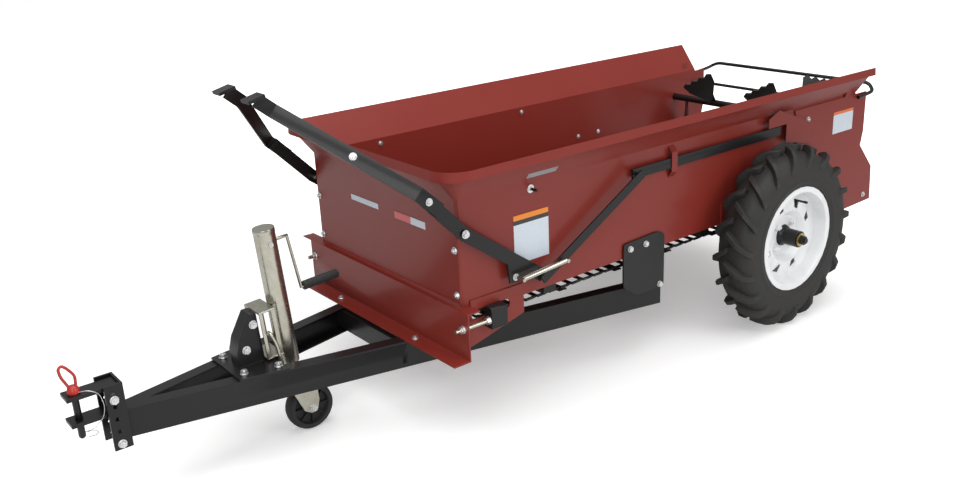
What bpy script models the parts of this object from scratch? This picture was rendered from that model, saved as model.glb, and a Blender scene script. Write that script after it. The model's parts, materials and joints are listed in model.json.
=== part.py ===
"""Walk-behind size manure spreader: open hopper on two ground wheels, A-frame tongue parked on a caster jack."""
import math

import bmesh
import bpy
from mathutils import Matrix, Vector

# Driving dimensions, metres. Y runs from the hitch (-) to the beater (+), +X is the left-hand side.
OVERALL_FRONT = 2.128      # axle centre to hitch tip
OVERALL_REAR = 0.640       # axle centre to rear edge of the side plates
AXLE_Y = (OVERALL_FRONT - OVERALL_REAR) / 2
HOPPER_W = 0.357           # half width over the hopper walls
HOPPER_FRONT = -1.224      # front wall, from the axle
HOPPER_REAR = 0.500        # rear end of the side walls, from the axle
WALL_BOTTOM = 0.360
FRONT_BOTTOM = 0.392
FLARE_START = 0.669
RIM_TOP = 0.757
FLARE_OUT = 0.067
LIP = 0.022
SHEET = 0.003
CORNER_R = 0.006
FLOOR_TOP = 0.3815
TYRE_R = 0.2965
TYRE_W = 0.128
RIM_R = 0.170
WHEEL_X = HOPPER_W + 0.092   # tyre centre plane
RAIL_TOP = 0.250
RAIL_H = 0.076
RAIL_FLANGE = 0.038
RAIL_T = 0.005
RAIL_FRONT = (0.0199, -2.020)
RAIL_REAR = (HOPPER_W - 0.0001, -0.475)
CHANNEL_Y = -1.240         # front face of the front cross channel
APRON_Z = 0.354            # apron shaft height
APRON_FRONT = -1.130
APRON_REAR = 0.300
APRON_R = 0.035            # outer radius of the chain on its sprockets, plus 1 mm
BEATER_Y = 0.385
BEATER_Z = 0.580
BEATER_R = 0.150
PIVOT = (-1.221, 0.590)    # lever pivot, from the axle
LEVER_X = HOPPER_W + 0.0205  # lever plane
LINK_X = HOPPER_W + 0.0340
SLIDE_X = HOPPER_W + 0.0095
BAR_T = 0.006
JACK_Y = -1.577            # jack axis at the top of its tube
JACK_TOP = 0.603
JACK_LEAN = math.radians(4.0)
JACK_R = 0.0285
CASTER_R = 0.0675

# Clearances, metres.
SEAT = 0.0003              # gap between pieces that touch
RUN = 0.0008               # gap on a turning fit

render_steps = 32
render_levels = 1

for old in list(bpy.data.objects):
    bpy.data.objects.remove(old, do_unlink=True)

parts = bpy.data.collections.new("manure_spreader")
cutters = bpy.data.collections.new("cutters")
bpy.context.scene.collection.children.link(parts)
bpy.context.scene.collection.children.link(cutters)

COLOURS = {
    "red_paint": ((0.30, 0.045, 0.035), 0.35, 0.0),
    "black_paint": ((0.012, 0.012, 0.013), 0.40, 0.0),
    "zinc": ((0.62, 0.61, 0.55), 0.30, 1.0),
    "white_paint": ((0.80, 0.84, 0.87), 0.35, 0.0),
    "tyre_rubber": ((0.018, 0.018, 0.018), 0.85, 0.0),
    "caster_plastic": ((0.015, 0.015, 0.015), 0.50, 0.0),
    "grip_rubber": ((0.020, 0.020, 0.020), 0.70, 0.0),
    "pin_red": ((0.55, 0.03, 0.03), 0.40, 0.0),
    "brass": ((0.60, 0.45, 0.18), 0.35, 1.0),
    "chain_steel": ((0.015, 0.015, 0.016), 0.45, 0.6),
}


def finish_of(name, slot):
    colour, rough, metal = COLOURS[slot]
    mat = bpy.data.materials.new(name + "_" + slot)
    mat.use_nodes = True
    shader = mat.node_tree.nodes["Principled BSDF"]
    shader.inputs["Base Color"].default_value = (*colour, 1.0)
    shader.inputs["Roughness"].default_value = rough
    shader.inputs["Metallic"].default_value = metal
    return mat


def from_axle(x, y, z):
    return Vector((x, y + AXLE_Y, z))


def add(name, data, slot, location=(0, 0, 0), rotation=(0, 0, 0), parent=None, home=None):
    obj = bpy.data.objects.new(name, data)
    obj.location = location
    obj.rotation_euler = rotation
    obj.parent = parent
    (home or parts).objects.link(obj)
    if slot:
        data.materials.append(finish_of(name, slot))
    return obj


def empty(name, location, rotation=(0, 0, 0)):
    return add(name, None, None, location, rotation)


IN_YZ = (math.pi / 2, 0, math.pi / 2)   # drawing plane: across = Y, up = Z
IN_XZ = (math.pi / 2, 0, 0)             # drawing plane: across = X, up = Z


def drawing(name, outlines, thick):
    """Closed outlines on one flat curve, the first the edge and the rest its holes, made solid about its plane."""
    curve = bpy.data.curves.new(name, "CURVE")
    curve.dimensions = "2D"
    curve.fill_mode = "BOTH"
    curve.extrude = thick / 2
    curve.resolution_u = 6
    curve.render_resolution_u = 0
    for points in outlines:
        spline = curve.splines.new("POLY")
        spline.points.add(len(points) - 1)
        for point, (a, b) in zip(spline.points, points):
            point.co = (a, b, 0, 1)
        spline.use_cyclic_u = True
    return curve


def circle(a, b, r, n=16):
    return [(a + r * math.cos(2 * math.pi * i / n), b + r * math.sin(2 * math.pi * i / n)) for i in range(n)]


def slot_hole(a0, a1, b, r, n=6):
    left = [(a0 + r * math.cos(t), b + r * math.sin(t)) for t in
            [math.pi / 2 + math.pi * i / n for i in range(n + 1)]]
    right = [(a1 + r * math.cos(t), b + r * math.sin(t)) for t in
             [-math.pi / 2 + math.pi * i / n for i in range(n + 1)]]
    return left + right


def rounded(points, radius, n=3):
    """Corners of a closed outline turned into short arcs."""
    out = []
    count = len(points)
    for i, here in enumerate(points):
        here = Vector(here)
        before = Vector(points[i - 1])
        after = Vector(points[(i + 1) % count])
        into = (before - here)
        away = (after - here)
        reach = min(radius, 0.45 * into.length, 0.45 * away.length)
        start = here + into.normalized() * reach
        end = here + away.normalized() * reach
        for k in range(n + 1):
            t = k / n
            out.append(tuple((1 - t) ** 2 * start + 2 * t * (1 - t) * here + t ** 2 * end))
    return out


def strip(points, width):
    """Outline of a bar or sheet of constant width along a centre line, mitred at its bends."""
    line = [Vector(p) for p in points]
    near = []
    far = []
    for i, here in enumerate(line):
        before = (line[i] - line[i - 1]).normalized() if i else (line[1] - line[0]).normalized()
        after = (line[i + 1] - line[i]).normalized() if i + 1 < len(line) else before
        normal = Vector((-before.y - after.y, before.x + after.x)).normalized()
        reach = width / 2 / max(0.2, normal.dot(Vector((-before.y, before.x))))
        near.append(tuple(here + normal * reach))
        far.append(tuple(here - normal * reach))
    return near + far[::-1]


def plate(name, outlines, thick, slot, location, rotation=IN_YZ, parent=None):
    return add(name, drawing(name, outlines, thick), slot, location, rotation, parent)


def solid(obj):
    """Mesh of an object with its modifiers and placement worked in; the object itself is dropped."""
    graph = bpy.context.evaluated_depsgraph_get()
    graph.update()
    mesh = bpy.data.meshes.new_from_object(obj.evaluated_get(graph))
    mesh.transform(obj.matrix_world)
    if obj.matrix_world.determinant() < 0:
        mesh.flip_normals()
    work = bmesh.new()
    work.from_mesh(mesh)
    bmesh.ops.remove_doubles(work, verts=work.verts, dist=1e-6)
    bmesh.ops.recalc_face_normals(work, faces=work.faces)
    work.to_mesh(mesh)
    work.free()
    bpy.data.objects.remove(obj, do_unlink=True)
    mesh.materials.clear()
    return mesh


def settle():
    bpy.context.view_layer.update()


def to_mesh_object(obj, slot, origin=None, parent=None):
    """The same piece as a mesh whose origin is the given point."""
    name = obj.name
    settle()
    mesh = solid(obj)
    place = Vector(origin) if origin is not None else Vector((0, 0, 0))
    mesh.transform(Matrix.Translation(-place))
    mesh.name = name
    made = add(name, mesh, slot, place)
    if parent:
        settle()
        made.parent = parent
        made.matrix_parent_inverse = parent.matrix_world.inverted()
    return made


def boolean(target, tool, operation):
    """Join to, or cut from, a mesh object; the tool is kept hidden with the cutters."""
    for home in list(tool.users_collection):
        home.objects.unlink(tool)
    cutters.objects.link(tool)
    tool.hide_render = True
    tool.display_type = "WIRE"
    mod = target.modifiers.new(operation.lower() + "_" + tool.name, "BOOLEAN")
    mod.operation = operation
    mod.solver = "EXACT"
    mod.object = tool
    return target


def tool_mesh(obj):
    name = obj.name
    settle()
    mesh = solid(obj)
    return add(name, mesh, None, home=cutters)


def box_mesh(name, size, bevel=0.0):
    mesh = bpy.data.meshes.new(name)
    work = bmesh.new()
    bmesh.ops.create_cube(work, size=1.0)
    bmesh.ops.scale(work, vec=size, verts=work.verts)
    if bevel:
        bmesh.ops.bevel(work, geom=work.edges[:], offset=bevel, segments=1, affect="EDGES")
    work.to_mesh(mesh)
    work.free()
    return mesh


def box(name, low, high, slot, bevel=0.0, home=None):
    low = Vector(low)
    high = Vector(high)
    mesh = box_mesh(name, high - low, bevel)
    return add(name, mesh, slot, from_axle(*((low + high) / 2)), home=home)


def cylinder(name, start, end, radius, slot, sides=24, radius_end=None, home=None):
    """Round bar between two points given from the axle."""
    start = from_axle(*start)
    end = from_axle(*end)
    along = end - start
    mesh = bpy.data.meshes.new(name)
    work = bmesh.new()
    bmesh.ops.create_cone(work, cap_ends=True, segments=sides, radius1=radius,
                          radius2=radius if radius_end is None else radius_end, depth=along.length)
    work.to_mesh(mesh)
    work.free()
    turn = Vector((0, 0, 1)).rotation_difference(along).to_euler()
    return add(name, mesh, slot, (start + end) / 2, turn, home=home)


def rod(name, points, radius, slot, round_off=0.0, sides=2):
    """Bent round bar along points given from the axle."""
    curve = bpy.data.curves.new(name, "CURVE")
    curve.dimensions = "3D"
    curve.bevel_depth = radius
    curve.bevel_resolution = sides
    curve.use_fill_caps = True
    curve.resolution_u = 1
    curve.render_resolution_u = 0
    path = [from_axle(*p) for p in points]
    if round_off:
        eased = [path[0]]
        for before, here, after in zip(path, path[1:], path[2:]):
            into = before - here
            away = after - here
            reach = min(round_off, 0.45 * into.length, 0.45 * away.length)
            start = here + into.normalized() * reach
            end = here + away.normalized() * reach
            for k in range(6):
                t = k / 5
                eased.append((1 - t) ** 2 * start + 2 * t * (1 - t) * here + t ** 2 * end)
        eased.append(path[-1])
        path = eased
    spline = curve.splines.new("POLY")
    spline.points.add(len(path) - 1)
    for point, co in zip(spline.points, path):
        point.co = (*co, 1)
    return add(name, curve, slot)


def turned(name, profile, slot, location, axis="X", close=False, parent=None):
    """Profile of (radius, height) pairs revolved about the local Z axis, laid along the given axis."""
    mesh = bpy.data.meshes.new(name)
    pairs = zip(profile, profile[1:] + profile[:1])
    if sum(r0 * h1 - r1 * h0 for (r0, h0), (r1, h1) in pairs) > 0:
        profile = profile[::-1]
    verts = [(r, 0, h) for r, h in profile]
    edges = [(i, i + 1) for i in range(len(profile) - 1)]
    if close:
        edges.append((len(profile) - 1, 0))
    mesh.from_pydata(verts, edges, [])
    turn = {"X": (0, math.pi / 2, 0), "Y": (-math.pi / 2, 0, 0), "Z": (0, 0, 0)}[axis]
    obj = add(name, mesh, slot, location, turn, parent)
    mod = obj.modifiers.new("revolve", "SCREW")
    mod.angle = 2 * math.pi
    mod.screw_offset = 0
    mod.steps = render_steps
    mod.render_steps = render_steps
    mod.use_merge_vertices = True
    mod.merge_threshold = 0.0001
    return obj


def channel_section(height, flange, thick):
    """C section, web on the +X side of the drawing, top at zero."""
    return [(0, 0), (0, -height), (-flange, -height), (-flange, -height + thick),
            (-thick, -height + thick), (-thick, -thick), (-flange, -thick), (-flange, 0)]


# Tongue: two channels that meet at the hitch, with the cross member that ties them under the hopper front.
rail_start = from_axle(RAIL_FRONT[0], RAIL_FRONT[1], RAIL_TOP)
rail_end = from_axle(RAIL_REAR[0], RAIL_REAR[1], RAIL_TOP)
rail_run = rail_end - rail_start
heading = math.atan2(rail_run.x, rail_run.y)
section = drawing("tongue_frame", [channel_section(RAIL_H, RAIL_FLANGE, RAIL_T)], rail_run.length)
rail = add("tongue_frame", section, None, (rail_start + rail_end) / 2, (math.pi / 2, 0, -heading))
tongue_frame = to_mesh_object(rail, "black_paint")
mirror = tongue_frame.modifiers.new("other rail", "MIRROR")
mirror.use_axis = (True, False, False)
mirror.use_bisect_axis = (True, False, False)
mirror.merge_threshold = 0.00001
inner_at_tie = RAIL_FRONT[0] + (-1.262 - RAIL_FRONT[1]) * math.tan(heading)
tie = box("tie", (-inner_at_tie + 0.003, -1.300, RAIL_TOP - RAIL_H + 0.012),
          (inner_at_tie - 0.003, -1.262, RAIL_TOP - 0.006), None, home=cutters)
boolean(tongue_frame, tool_mesh(tie), "UNION")
nose = box("nose_cut", (-0.1, -2.10, 0.1), (0.1, -1.9997, 0.3), None, home=cutters)
boolean(tongue_frame, nose, "DIFFERENCE")

# Hitch: upright channel with a row of height holes, two straps and a drawbar pin.
HITCH_X = 0.0375
hitch_face = -2.045
side = [(hitch_face, 0.330), (hitch_face, 0.160), (-2.000, 0.156), (-2.000, 0.326)]
hitch_outline = [(HITCH_X, -2.000), (HITCH_X, hitch_face), (HITCH_X - 0.006, hitch_face), (HITCH_X - 0.006, -2.006),
                 (-HITCH_X + 0.006, -2.006), (-HITCH_X + 0.006, hitch_face), (-HITCH_X, hitch_face),
                 (-HITCH_X, -2.000)]
hitch_curve = drawing("hitch_channel", [hitch_outline], 0.172)
hitch_channel = to_mesh_object(add("hitch_channel", hitch_curve, None, (0, AXLE_Y, 0.243)), "black_paint")
hitch_holes = [0.172, 0.205, 0.238, 0.271, 0.304]
for number, height in enumerate(hitch_holes):
    drill = cylinder("hitch_drill_%d" % number, (-0.06, -2.026, height), (0.06, -2.026, height), 0.0055, None, 12,
                     home=cutters)
    boolean(hitch_channel, drill, "DIFFERENCE")

STRAP_Z = {"top": 0.318, "bottom": 0.250}
clevis_path = [(-2.128, STRAP_Z["top"] - 0.005), (-2.128, STRAP_Z["top"] + 0.005), (-2.0063, STRAP_Z["top"] + 0.005),
               (-2.0063, STRAP_Z["bottom"] - 0.005), (-2.128, STRAP_Z["bottom"] - 0.005),
               (-2.128, STRAP_Z["bottom"] + 0.005), (-2.0175, STRAP_Z["bottom"] + 0.005),
               (-2.0175, STRAP_Z["top"] - 0.005)]
clevis = plate("hitch_clevis", [clevis_path], 0.050, None, (0, AXLE_Y, 0))
hitch_clevis = to_mesh_object(clevis, "black_paint")
PIN_Y = -2.103
pin_bore = cylinder("pin_bore", (0, PIN_Y, 0.20), (0, PIN_Y, 0.36), 0.0085 + RUN, None, 16, home=cutters)
boolean(hitch_clevis, pin_bore, "DIFFERENCE")
hitch_pin = turned("hitch_pin", [(0, 0.339), (0.015, 0.339), (0.015, STRAP_Z["top"] + 0.005 + SEAT),
                                 (0.0085, STRAP_Z["top"] + 0.005 + SEAT), (0.0085, 0.208), (0.005, 0.203), (0, 0.203)],
                   "pin_red", from_axle(0, PIN_Y, 0), "Z")

# Front cross channel: upright web, top flange to the rear, bottom flange forward over the rails.
web_t = 0.004
channel_z = (RAIL_TOP + SEAT, 0.384)
channel_profile = [(CHANNEL_Y - 0.050, channel_z[0]), (CHANNEL_Y + web_t, channel_z[0]),
                   (CHANNEL_Y + web_t, channel_z[1] - web_t), (CHANNEL_Y + 0.040, channel_z[1] - web_t),
                   (CHANNEL_Y + 0.040, channel_z[1]), (CHANNEL_Y, channel_z[1]),
                   (CHANNEL_Y, channel_z[0] + web_t), (CHANNEL_Y - 0.050, channel_z[0] + web_t)]
CHANNEL_HALF = HOPPER_W + 0.045
front_channel = to_mesh_object(plate("front_cross_channel", [channel_profile], 2 * CHANNEL_HALF, None, (0, AXLE_Y, 0)),
                               "red_paint")
TENSION_Z = 0.336
TENSION_X = HOPPER_W + 0.023
for number, across in enumerate((-TENSION_X, TENSION_X)):
    drill = cylinder("tension_drill_%d" % number, (across, -1.26, TENSION_Z), (across, -1.22, TENSION_Z),
                     0.0060, None, 12, home=cutters)
    boolean(front_channel, drill, "DIFFERENCE")
# The tab on the right end is set in from the flange's faces, so that it joins inside the flange.
TAB_INSET = 0.0006
tab = box("tab", (-CHANNEL_HALF - 0.053, CHANNEL_Y + web_t / 2, channel_z[1] - web_t + TAB_INSET),
          (-CHANNEL_HALF + 0.032, CHANNEL_Y + 0.040 - TAB_INSET, channel_z[1] - TAB_INSET), None, home=cutters)
boolean(front_channel, tab, "UNION")

# Hopper sheets.
SIDE_SIGN = {"left": 1, "right": -1}


def side_sheet(name, sign):
    """Side wall, flare and turned-down lip, carried round the front corner as a quarter cone."""
    skin = SHEET / 2
    mesh = bpy.data.meshes.new(name)
    work = bmesh.new()
    wall = HOPPER_W - skin
    profile = [(wall, WALL_BOTTOM), (wall, FLARE_START), (wall + FLARE_OUT, RIM_TOP),
               (wall + FLARE_OUT + 0.002, RIM_TOP - LIP)]
    front = HOPPER_FRONT + SHEET / 2 + CORNER_R
    verts = [work.verts.new((x, HOPPER_REAR, z)) for x, z in profile]
    edges = [work.edges.new(pair) for pair in zip(verts, verts[1:])]
    swept = bmesh.ops.extrude_edge_only(work, edges=edges)["geom"]
    moved = [item for item in swept if isinstance(item, bmesh.types.BMVert)]
    bmesh.ops.translate(work, vec=(0, front - HOPPER_REAR, 0), verts=moved)
    lead = [item for item in swept if isinstance(item, bmesh.types.BMEdge)]
    lead = [edge for edge in lead if all(abs(v.co.y - front) < 1e-6 for v in edge.verts)]
    bmesh.ops.spin(work, geom=lead, cent=(wall - CORNER_R, front, 0), axis=(0, 0, -1), angle=math.pi / 2, steps=8)
    bmesh.ops.recalc_face_normals(work, faces=work.faces)
    if sign < 0:
        bmesh.ops.scale(work, vec=(-1, 1, 1), verts=work.verts)
        bmesh.ops.reverse_faces(work, faces=work.faces)
    work.to_mesh(mesh)
    work.free()
    obj = add(name, mesh, "red_paint", from_axle(0, 0, 0))
    shell = obj.modifiers.new("sheet", "SOLIDIFY")
    shell.thickness = SHEET
    shell.offset = 0
    shell.use_even_offset = True
    return obj


side_mid = HOPPER_W - SHEET / 2
for side_name, sign in SIDE_SIGN.items():
    wall = side_sheet("side_panel_" + side_name, sign)
    for label, low, high in (("front", -1.250, -1.066), ("rear", APRON_REAR - 0.016, APRON_REAR + 0.016)):
        notch = box("notch_%s_%s" % (label, side_name), (sign * side_mid - 0.02, low, 0.340),
                    (sign * side_mid + 0.02, high, 0.3855 if label == "front" else APRON_Z + 0.0145), None,
                    home=cutters)
        boolean(wall, notch, "DIFFERENCE")
    bore = cylinder("beater_bore_" + side_name, (sign * (side_mid - 0.025), BEATER_Y, BEATER_Z),
                    (sign * (side_mid + 0.025), BEATER_Y, BEATER_Z), 0.0125 + RUN, None, 24, home=cutters)
    boolean(wall, bore, "DIFFERENCE")

face = HOPPER_FRONT + SHEET / 2
panel_profile = strip([(face, FRONT_BOTTOM), (face, FLARE_START), (face - FLARE_OUT, RIM_TOP),
                       (face - FLARE_OUT - 0.002, RIM_TOP - LIP)], SHEET)
panel_half = HOPPER_W - SHEET / 2 - CORNER_R - SEAT
plate("front_panel", [panel_profile], 2 * panel_half, "red_paint", from_axle(0, 0, 0))

floor_half = HOPPER_W - SHEET - SEAT
box("floor_panel", (-floor_half, APRON_FRONT + 0.014, FLOOR_TOP - SHEET), (floor_half, APRON_REAR - 0.014, FLOOR_TOP),
    "red_paint")
for label, along in (("front", -0.920), ("rear", -0.275)):
    box("cross_member_" + label, (-floor_half, along - 0.022, 0.338), (floor_half, along + 0.022,
        FLOOR_TOP - SHEET - SEAT), "black_paint")

# Apron: two shafts with sprockets and one endless chain with slats.
CHAIN_X = HOPPER_W - 0.060
SPROCKET = (CHAIN_X - 0.007, CHAIN_X + 0.008)
for label, along, half in (("front", APRON_FRONT, HOPPER_W + 0.0051), ("rear", APRON_REAR, HOPPER_W)):
    sprocket = [(0, -half), (0.0125, -half), (0.0125, -SPROCKET[1]), (APRON_R - 0.008, -SPROCKET[1]),
                (APRON_R - 0.008, -SPROCKET[0]), (0.0125, -SPROCKET[0]), (0.0125, SPROCKET[0]),
                (APRON_R - 0.008, SPROCKET[0]), (APRON_R - 0.008, SPROCKET[1]), (0.0125, SPROCKET[1]),
                (0.0125, half), (0, half)]
    turned("apron_shaft_" + label, sprocket[::-1], "chain_steel", from_axle(0, along, APRON_Z), "X")

SLATS_TOP = 7


def loop_outline(radius, n=10):
    rear = [(APRON_REAR + radius * math.cos(t), APRON_Z + radius * math.sin(t)) for t in
            [-math.pi / 2 + math.pi * i / n for i in range(n + 1)]]
    front = [(APRON_FRONT + radius * math.cos(t), APRON_Z + radius * math.sin(t)) for t in
             [math.pi / 2 + math.pi * i / n for i in range(n + 1)]]
    return rear + front


chain_band = plate("apron_chain", [loop_outline(APRON_R - 0.001), loop_outline(APRON_R - 0.007)], 0.070, None,
                   from_axle(CHAIN_X, 0, 0))
apron_chain = to_mesh_object(chain_band, "chain_steel")
twin = apron_chain.modifiers.new("other strand", "MIRROR")
twin.use_axis = (True, False, False)
slat_half = HOPPER_W - 0.027
for number in range(SLATS_TOP):
    along = APRON_FRONT + 0.06 + number * (APRON_REAR - APRON_FRONT - 0.12) / (SLATS_TOP - 1)
    for level, low in (("top", APRON_Z + APRON_R - 0.0065), ("back", APRON_Z - APRON_R + 0.0015)):
        slat = box("slat_%s_%d" % (level, number), (-slat_half, along - 0.014, low),
                   (slat_half, along + 0.014, low + 0.005), None, home=cutters)
        boolean(apron_chain, slat, "UNION")

# Side furniture that comes in pairs.
REAR_PLATE = [(-0.205, 0.250), (0.050, 0.222), (0.490, 0.252), (0.640, 0.256), (0.631, 0.381), (0.549, 0.473),
              (0.561, 0.523), (0.560, 0.6635), (0.150, 0.6635), (0.190, 0.560), (-0.205, 0.430)]
BRACKET = [(-0.641, 0.270), (-0.578, 0.232), (-0.468, 0.232), (-0.468, 0.400), (-0.500, 0.412), (-0.641, 0.406)]
TENSION_PLATE = [(CHANNEL_Y + 0.0045, 0.262), (-1.185, 0.272), (-1.020, 0.312), (-1.020, 0.397),
                 (CHANNEL_Y + 0.0405, 0.397), (CHANNEL_Y + 0.0405, 0.379), (CHANNEL_Y + 0.0045, 0.379)]
GUARD = [(-0.007, 0.664), (0.044, 0.686), (0.205, 0.622), (0.243, 0.541), (0.085, 0.575), (0.085, 0.634),
         (-0.007, 0.634)]
GUARD_HOOD = [(0.150, 0.6430), (0.2045, 0.6215), (0.2425, 0.5415), (0.239, 0.5425), (0.202, 0.619), (0.150, 0.6395)]
outer = HOPPER_W + SEAT
for side_name, sign in SIDE_SIGN.items():
    def at(x, sign=sign):
        return from_axle(sign * x, 0, 0)

    plate("rear_plate_" + side_name, [REAR_PLATE, circle(0, TYRE_R, 0.0175 + SEAT, 24),
                                      circle(BEATER_Y, BEATER_Z, 0.0125 + RUN, 24)], 0.004, "red_paint",
          at(outer + 0.002))
    plate("rail_bracket_" + side_name, [rounded(BRACKET, 0.012)], 0.006, "black_paint", at(outer + 0.003))
    plate("tensioner_plate_" + side_name, [TENSION_PLATE, slot_hole(-1.184, -1.082, APRON_Z, 0.0135)], 0.004,
          "red_paint", at(outer + 0.002))
    guard = to_mesh_object(plate("bar_guard_" + side_name, [GUARD], 0.003, None, at(HOPPER_W + 0.0200)),
                           "red_paint")
    hood = tool_mesh(plate("guard_hood_" + side_name, [GUARD_HOOD], 0.0160, None,
                          at(HOPPER_W + 0.0127)))
    boolean(guard, hood, "UNION")
    block = box("tension_block_" + side_name, (HOPPER_W + 0.0055, -1.156, 0.312),
                (HOPPER_W + 0.0360, -1.102, 0.372), "black_paint", 0.002)
    block.location.x *= sign
    stud = cylinder("tension_stud_" + side_name, (sign * TENSION_X, -1.264, TENSION_Z), (sign * TENSION_X, -1.140,
                    TENSION_Z), 0.0050, None, 12, home=cutters)
    boolean(block, stud, "UNION")

# Axle and wheels.
AXLE_END = WHEEL_X + 0.087
AXLE_STEPS = [(0.009, AXLE_END), (0.009, AXLE_END - 0.006), (0.0145, AXLE_END - 0.006), (0.0145, AXLE_END - 0.021),
              (0.0175, AXLE_END - 0.021)]
AXLE_PROFILE = ([(0, -AXLE_END)] + [(r, -h) for r, h in AXLE_STEPS] + AXLE_STEPS[::-1] + [(0, AXLE_END)])
turned("axle_shaft", AXLE_PROFILE[::-1], "black_paint", from_axle(0, 0, TYRE_R), "X")

HUB = [(0.0175 + RUN, -0.045), (0.034, -0.045), (0.034, -0.012), (0.062, -0.012), (0.062, -0.004), (0.0335, -0.004),
       (0.0335, 0.004), (0.0265, 0.012), (0.0265, 0.063), (0.0175 + RUN, 0.063)]
half = TYRE_W / 2
bead = RIM_R - 0.012
TYRE_SIDE = [(bead + 0.0006, 0.0488), (RIM_R + 0.0008, 0.0514), (RIM_R + 0.0022, 0.0580), (0.190, half - 0.0015),
             (0.225, half), (0.268, half - 0.003), (TYRE_R - 0.006, half - 0.014), (TYRE_R, half - 0.030)]
TYRE = TYRE_SIDE + [(r, -h) for r, h in TYRE_SIDE[::-1]]
RIM = [(bead, 0.0495), (RIM_R, 0.0522), (RIM_R, 0.0562), (bead - 0.006, 0.0560), (bead - 0.010, 0.046),
       (bead - 0.012, 0.014), (0.128, 0.008), (0.086, 0.020), (0.066, -0.0005), (0.0345, -0.0005), (0.0345, -0.0037),
       (0.066, -0.0037), (0.086, 0.016), (0.128, 0.004), (bead - 0.012, -0.004), (bead - 0.010, -0.046),
       (bead - 0.006, -0.0560), (RIM_R, -0.0562), (RIM_R, -0.0522), (bead, -0.0495), (bead - 0.008, -0.010),
       (bead - 0.008, 0.010)]
WINDOWS = 8
WINDOW = [(0.094, -0.009), (0.094, 0.009), (0.121, 0.015), (0.121, -0.015)]
for side_name, sign in SIDE_SIGN.items():
    centre = from_axle(sign * WHEEL_X, 0, TYRE_R)
    flip = 1 if sign > 0 else -1

    def hand(profile, flip=flip):
        return [(r, flip * h) for r, h in profile][::flip]

    turned("tyre_" + side_name, hand(TYRE), "tyre_rubber", centre, "X", close=True)
    rim = turned("rim_" + side_name, hand(RIM), "white_paint", centre, "X", close=True)
    turned("hub_" + side_name, hand(HUB), "black_paint", centre, "X", close=True)
    prism = bpy.data.meshes.new("rim_windows_" + side_name)
    work = bmesh.new()
    for number in range(WINDOWS):
        turn = Matrix.Rotation(2 * math.pi * (number + 0.5) / WINDOWS, 3, "X")
        near = [work.verts.new(turn @ Vector((-0.03, b, a))) for a, b in WINDOW]
        far = [work.verts.new(turn @ Vector((0.05, b, a))) for a, b in WINDOW]
        work.faces.new(near)
        work.faces.new(far[::-1])
        for k in range(4):
            work.faces.new((near[k], far[k], far[(k + 1) % 4], near[(k + 1) % 4]))
    bmesh.ops.recalc_face_normals(work, faces=work.faces)
    work.to_mesh(prism)
    work.free()
    boolean(rim, add(prism.name, prism, None, centre, home=cutters), "DIFFERENCE")

# Beater: shaft with toothed paddles set round it, as (place along the shaft, turn from upright).
PADDLES = [(-0.2925, 180), (-0.165, 44), (-0.0275, 225), (0.110, 44), (0.185, 210), (0.260, -18)]
PADDLE_LEAN = 40
TEETH = 4
TOOTH = 0.010
beater_half = HOPPER_W + 0.0040
shaft = cylinder("beater", (-beater_half, BEATER_Y, BEATER_Z), (beater_half, BEATER_Y, BEATER_Z), 0.0125,
                 "black_paint", 24)
paddle_tip = BEATER_R - 0.004
blade_half = 0.056
BLADE = [(0.014, 0.004), (0.020, 0.040), (0.050, 0.095), (blade_half, paddle_tip - TOOTH)]
for tooth in range(TEETH):
    right = blade_half - 2 * blade_half * tooth / TEETH
    BLADE += [(right - blade_half / TEETH, paddle_tip), (right - 2 * blade_half / TEETH, paddle_tip - TOOTH)]
BLADE += [(-0.050, 0.095), (-0.020, 0.040), (-0.014, 0.004)]
for number, (across, turn) in enumerate(PADDLES):
    cutout = drawing("paddle_%d" % number, [BLADE], 0.006)
    paddle = add("paddle_%d" % number, cutout, None)
    spin = Matrix.Rotation(math.radians(turn), 4, "X")
    lean = Matrix.Rotation(math.radians(PADDLE_LEAN), 4, "Y")
    stand = Matrix.Rotation(math.radians(90), 4, "X")
    paddle.matrix_world = Matrix.Translation(from_axle(across, BEATER_Y, BEATER_Z)) @ spin @ stand @ lean
    boolean(shaft, tool_mesh(paddle), "UNION")

# Rear guard bars.
HOOP_X = HOPPER_W + 0.0113
HOOP_SIDE = [(HOOP_X, 0.500, 0.652), (HOOP_X, 0.590, 0.660), (HOPPER_W - 0.022, 0.612, 0.682)]
HOOP = HOOP_SIDE + [(-x, y, z) for x, y, z in HOOP_SIDE[::-1]]
rod("guard_hoop", HOOP, 0.0065, "black_paint", 0.030)
rod("guard_bar", [(-HOPPER_W, 0.545, 0.612), (HOPPER_W, 0.545, 0.612)], 0.0060, "black_paint")

# Levers, link bars and slide bars, one set each side.
LOWER_END = (-0.966, 0.408)
LINK_TOP = (-0.602, 0.612)


UPPER_X = HOPPER_W + 0.0268
UPPER_PATH = [(UPPER_X, -1.292, 0.668), (UPPER_X, -1.350, 0.722), (0.086, -1.552, 0.913), (0.080, -1.590, 0.945)]
LEVER_OUTLINE = [(-0.108, 0.1385), (0.012, 0.014), (0.265, -0.167), (0.245, -0.197), (0.190, -0.1585),
                 (0.180, -0.178), (0.140, -0.173), (0.135, -0.1185), (-0.012, -0.0135), (-0.134, 0.1135)]
# Guide strap section, out from the hopper side.
STRAP = [(SEAT, 0.566), (0.0158, 0.584), (0.0158, 0.644), (SEAT, 0.662), (SEAT, 0.656), (0.0128, 0.6415),
         (0.0128, 0.5865), (SEAT, 0.572)]
SPRING_X = HOPPER_W + 0.0500
SPRING_ENDS = [(-1.061, 0.431), (-0.905, 0.4425)]


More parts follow.
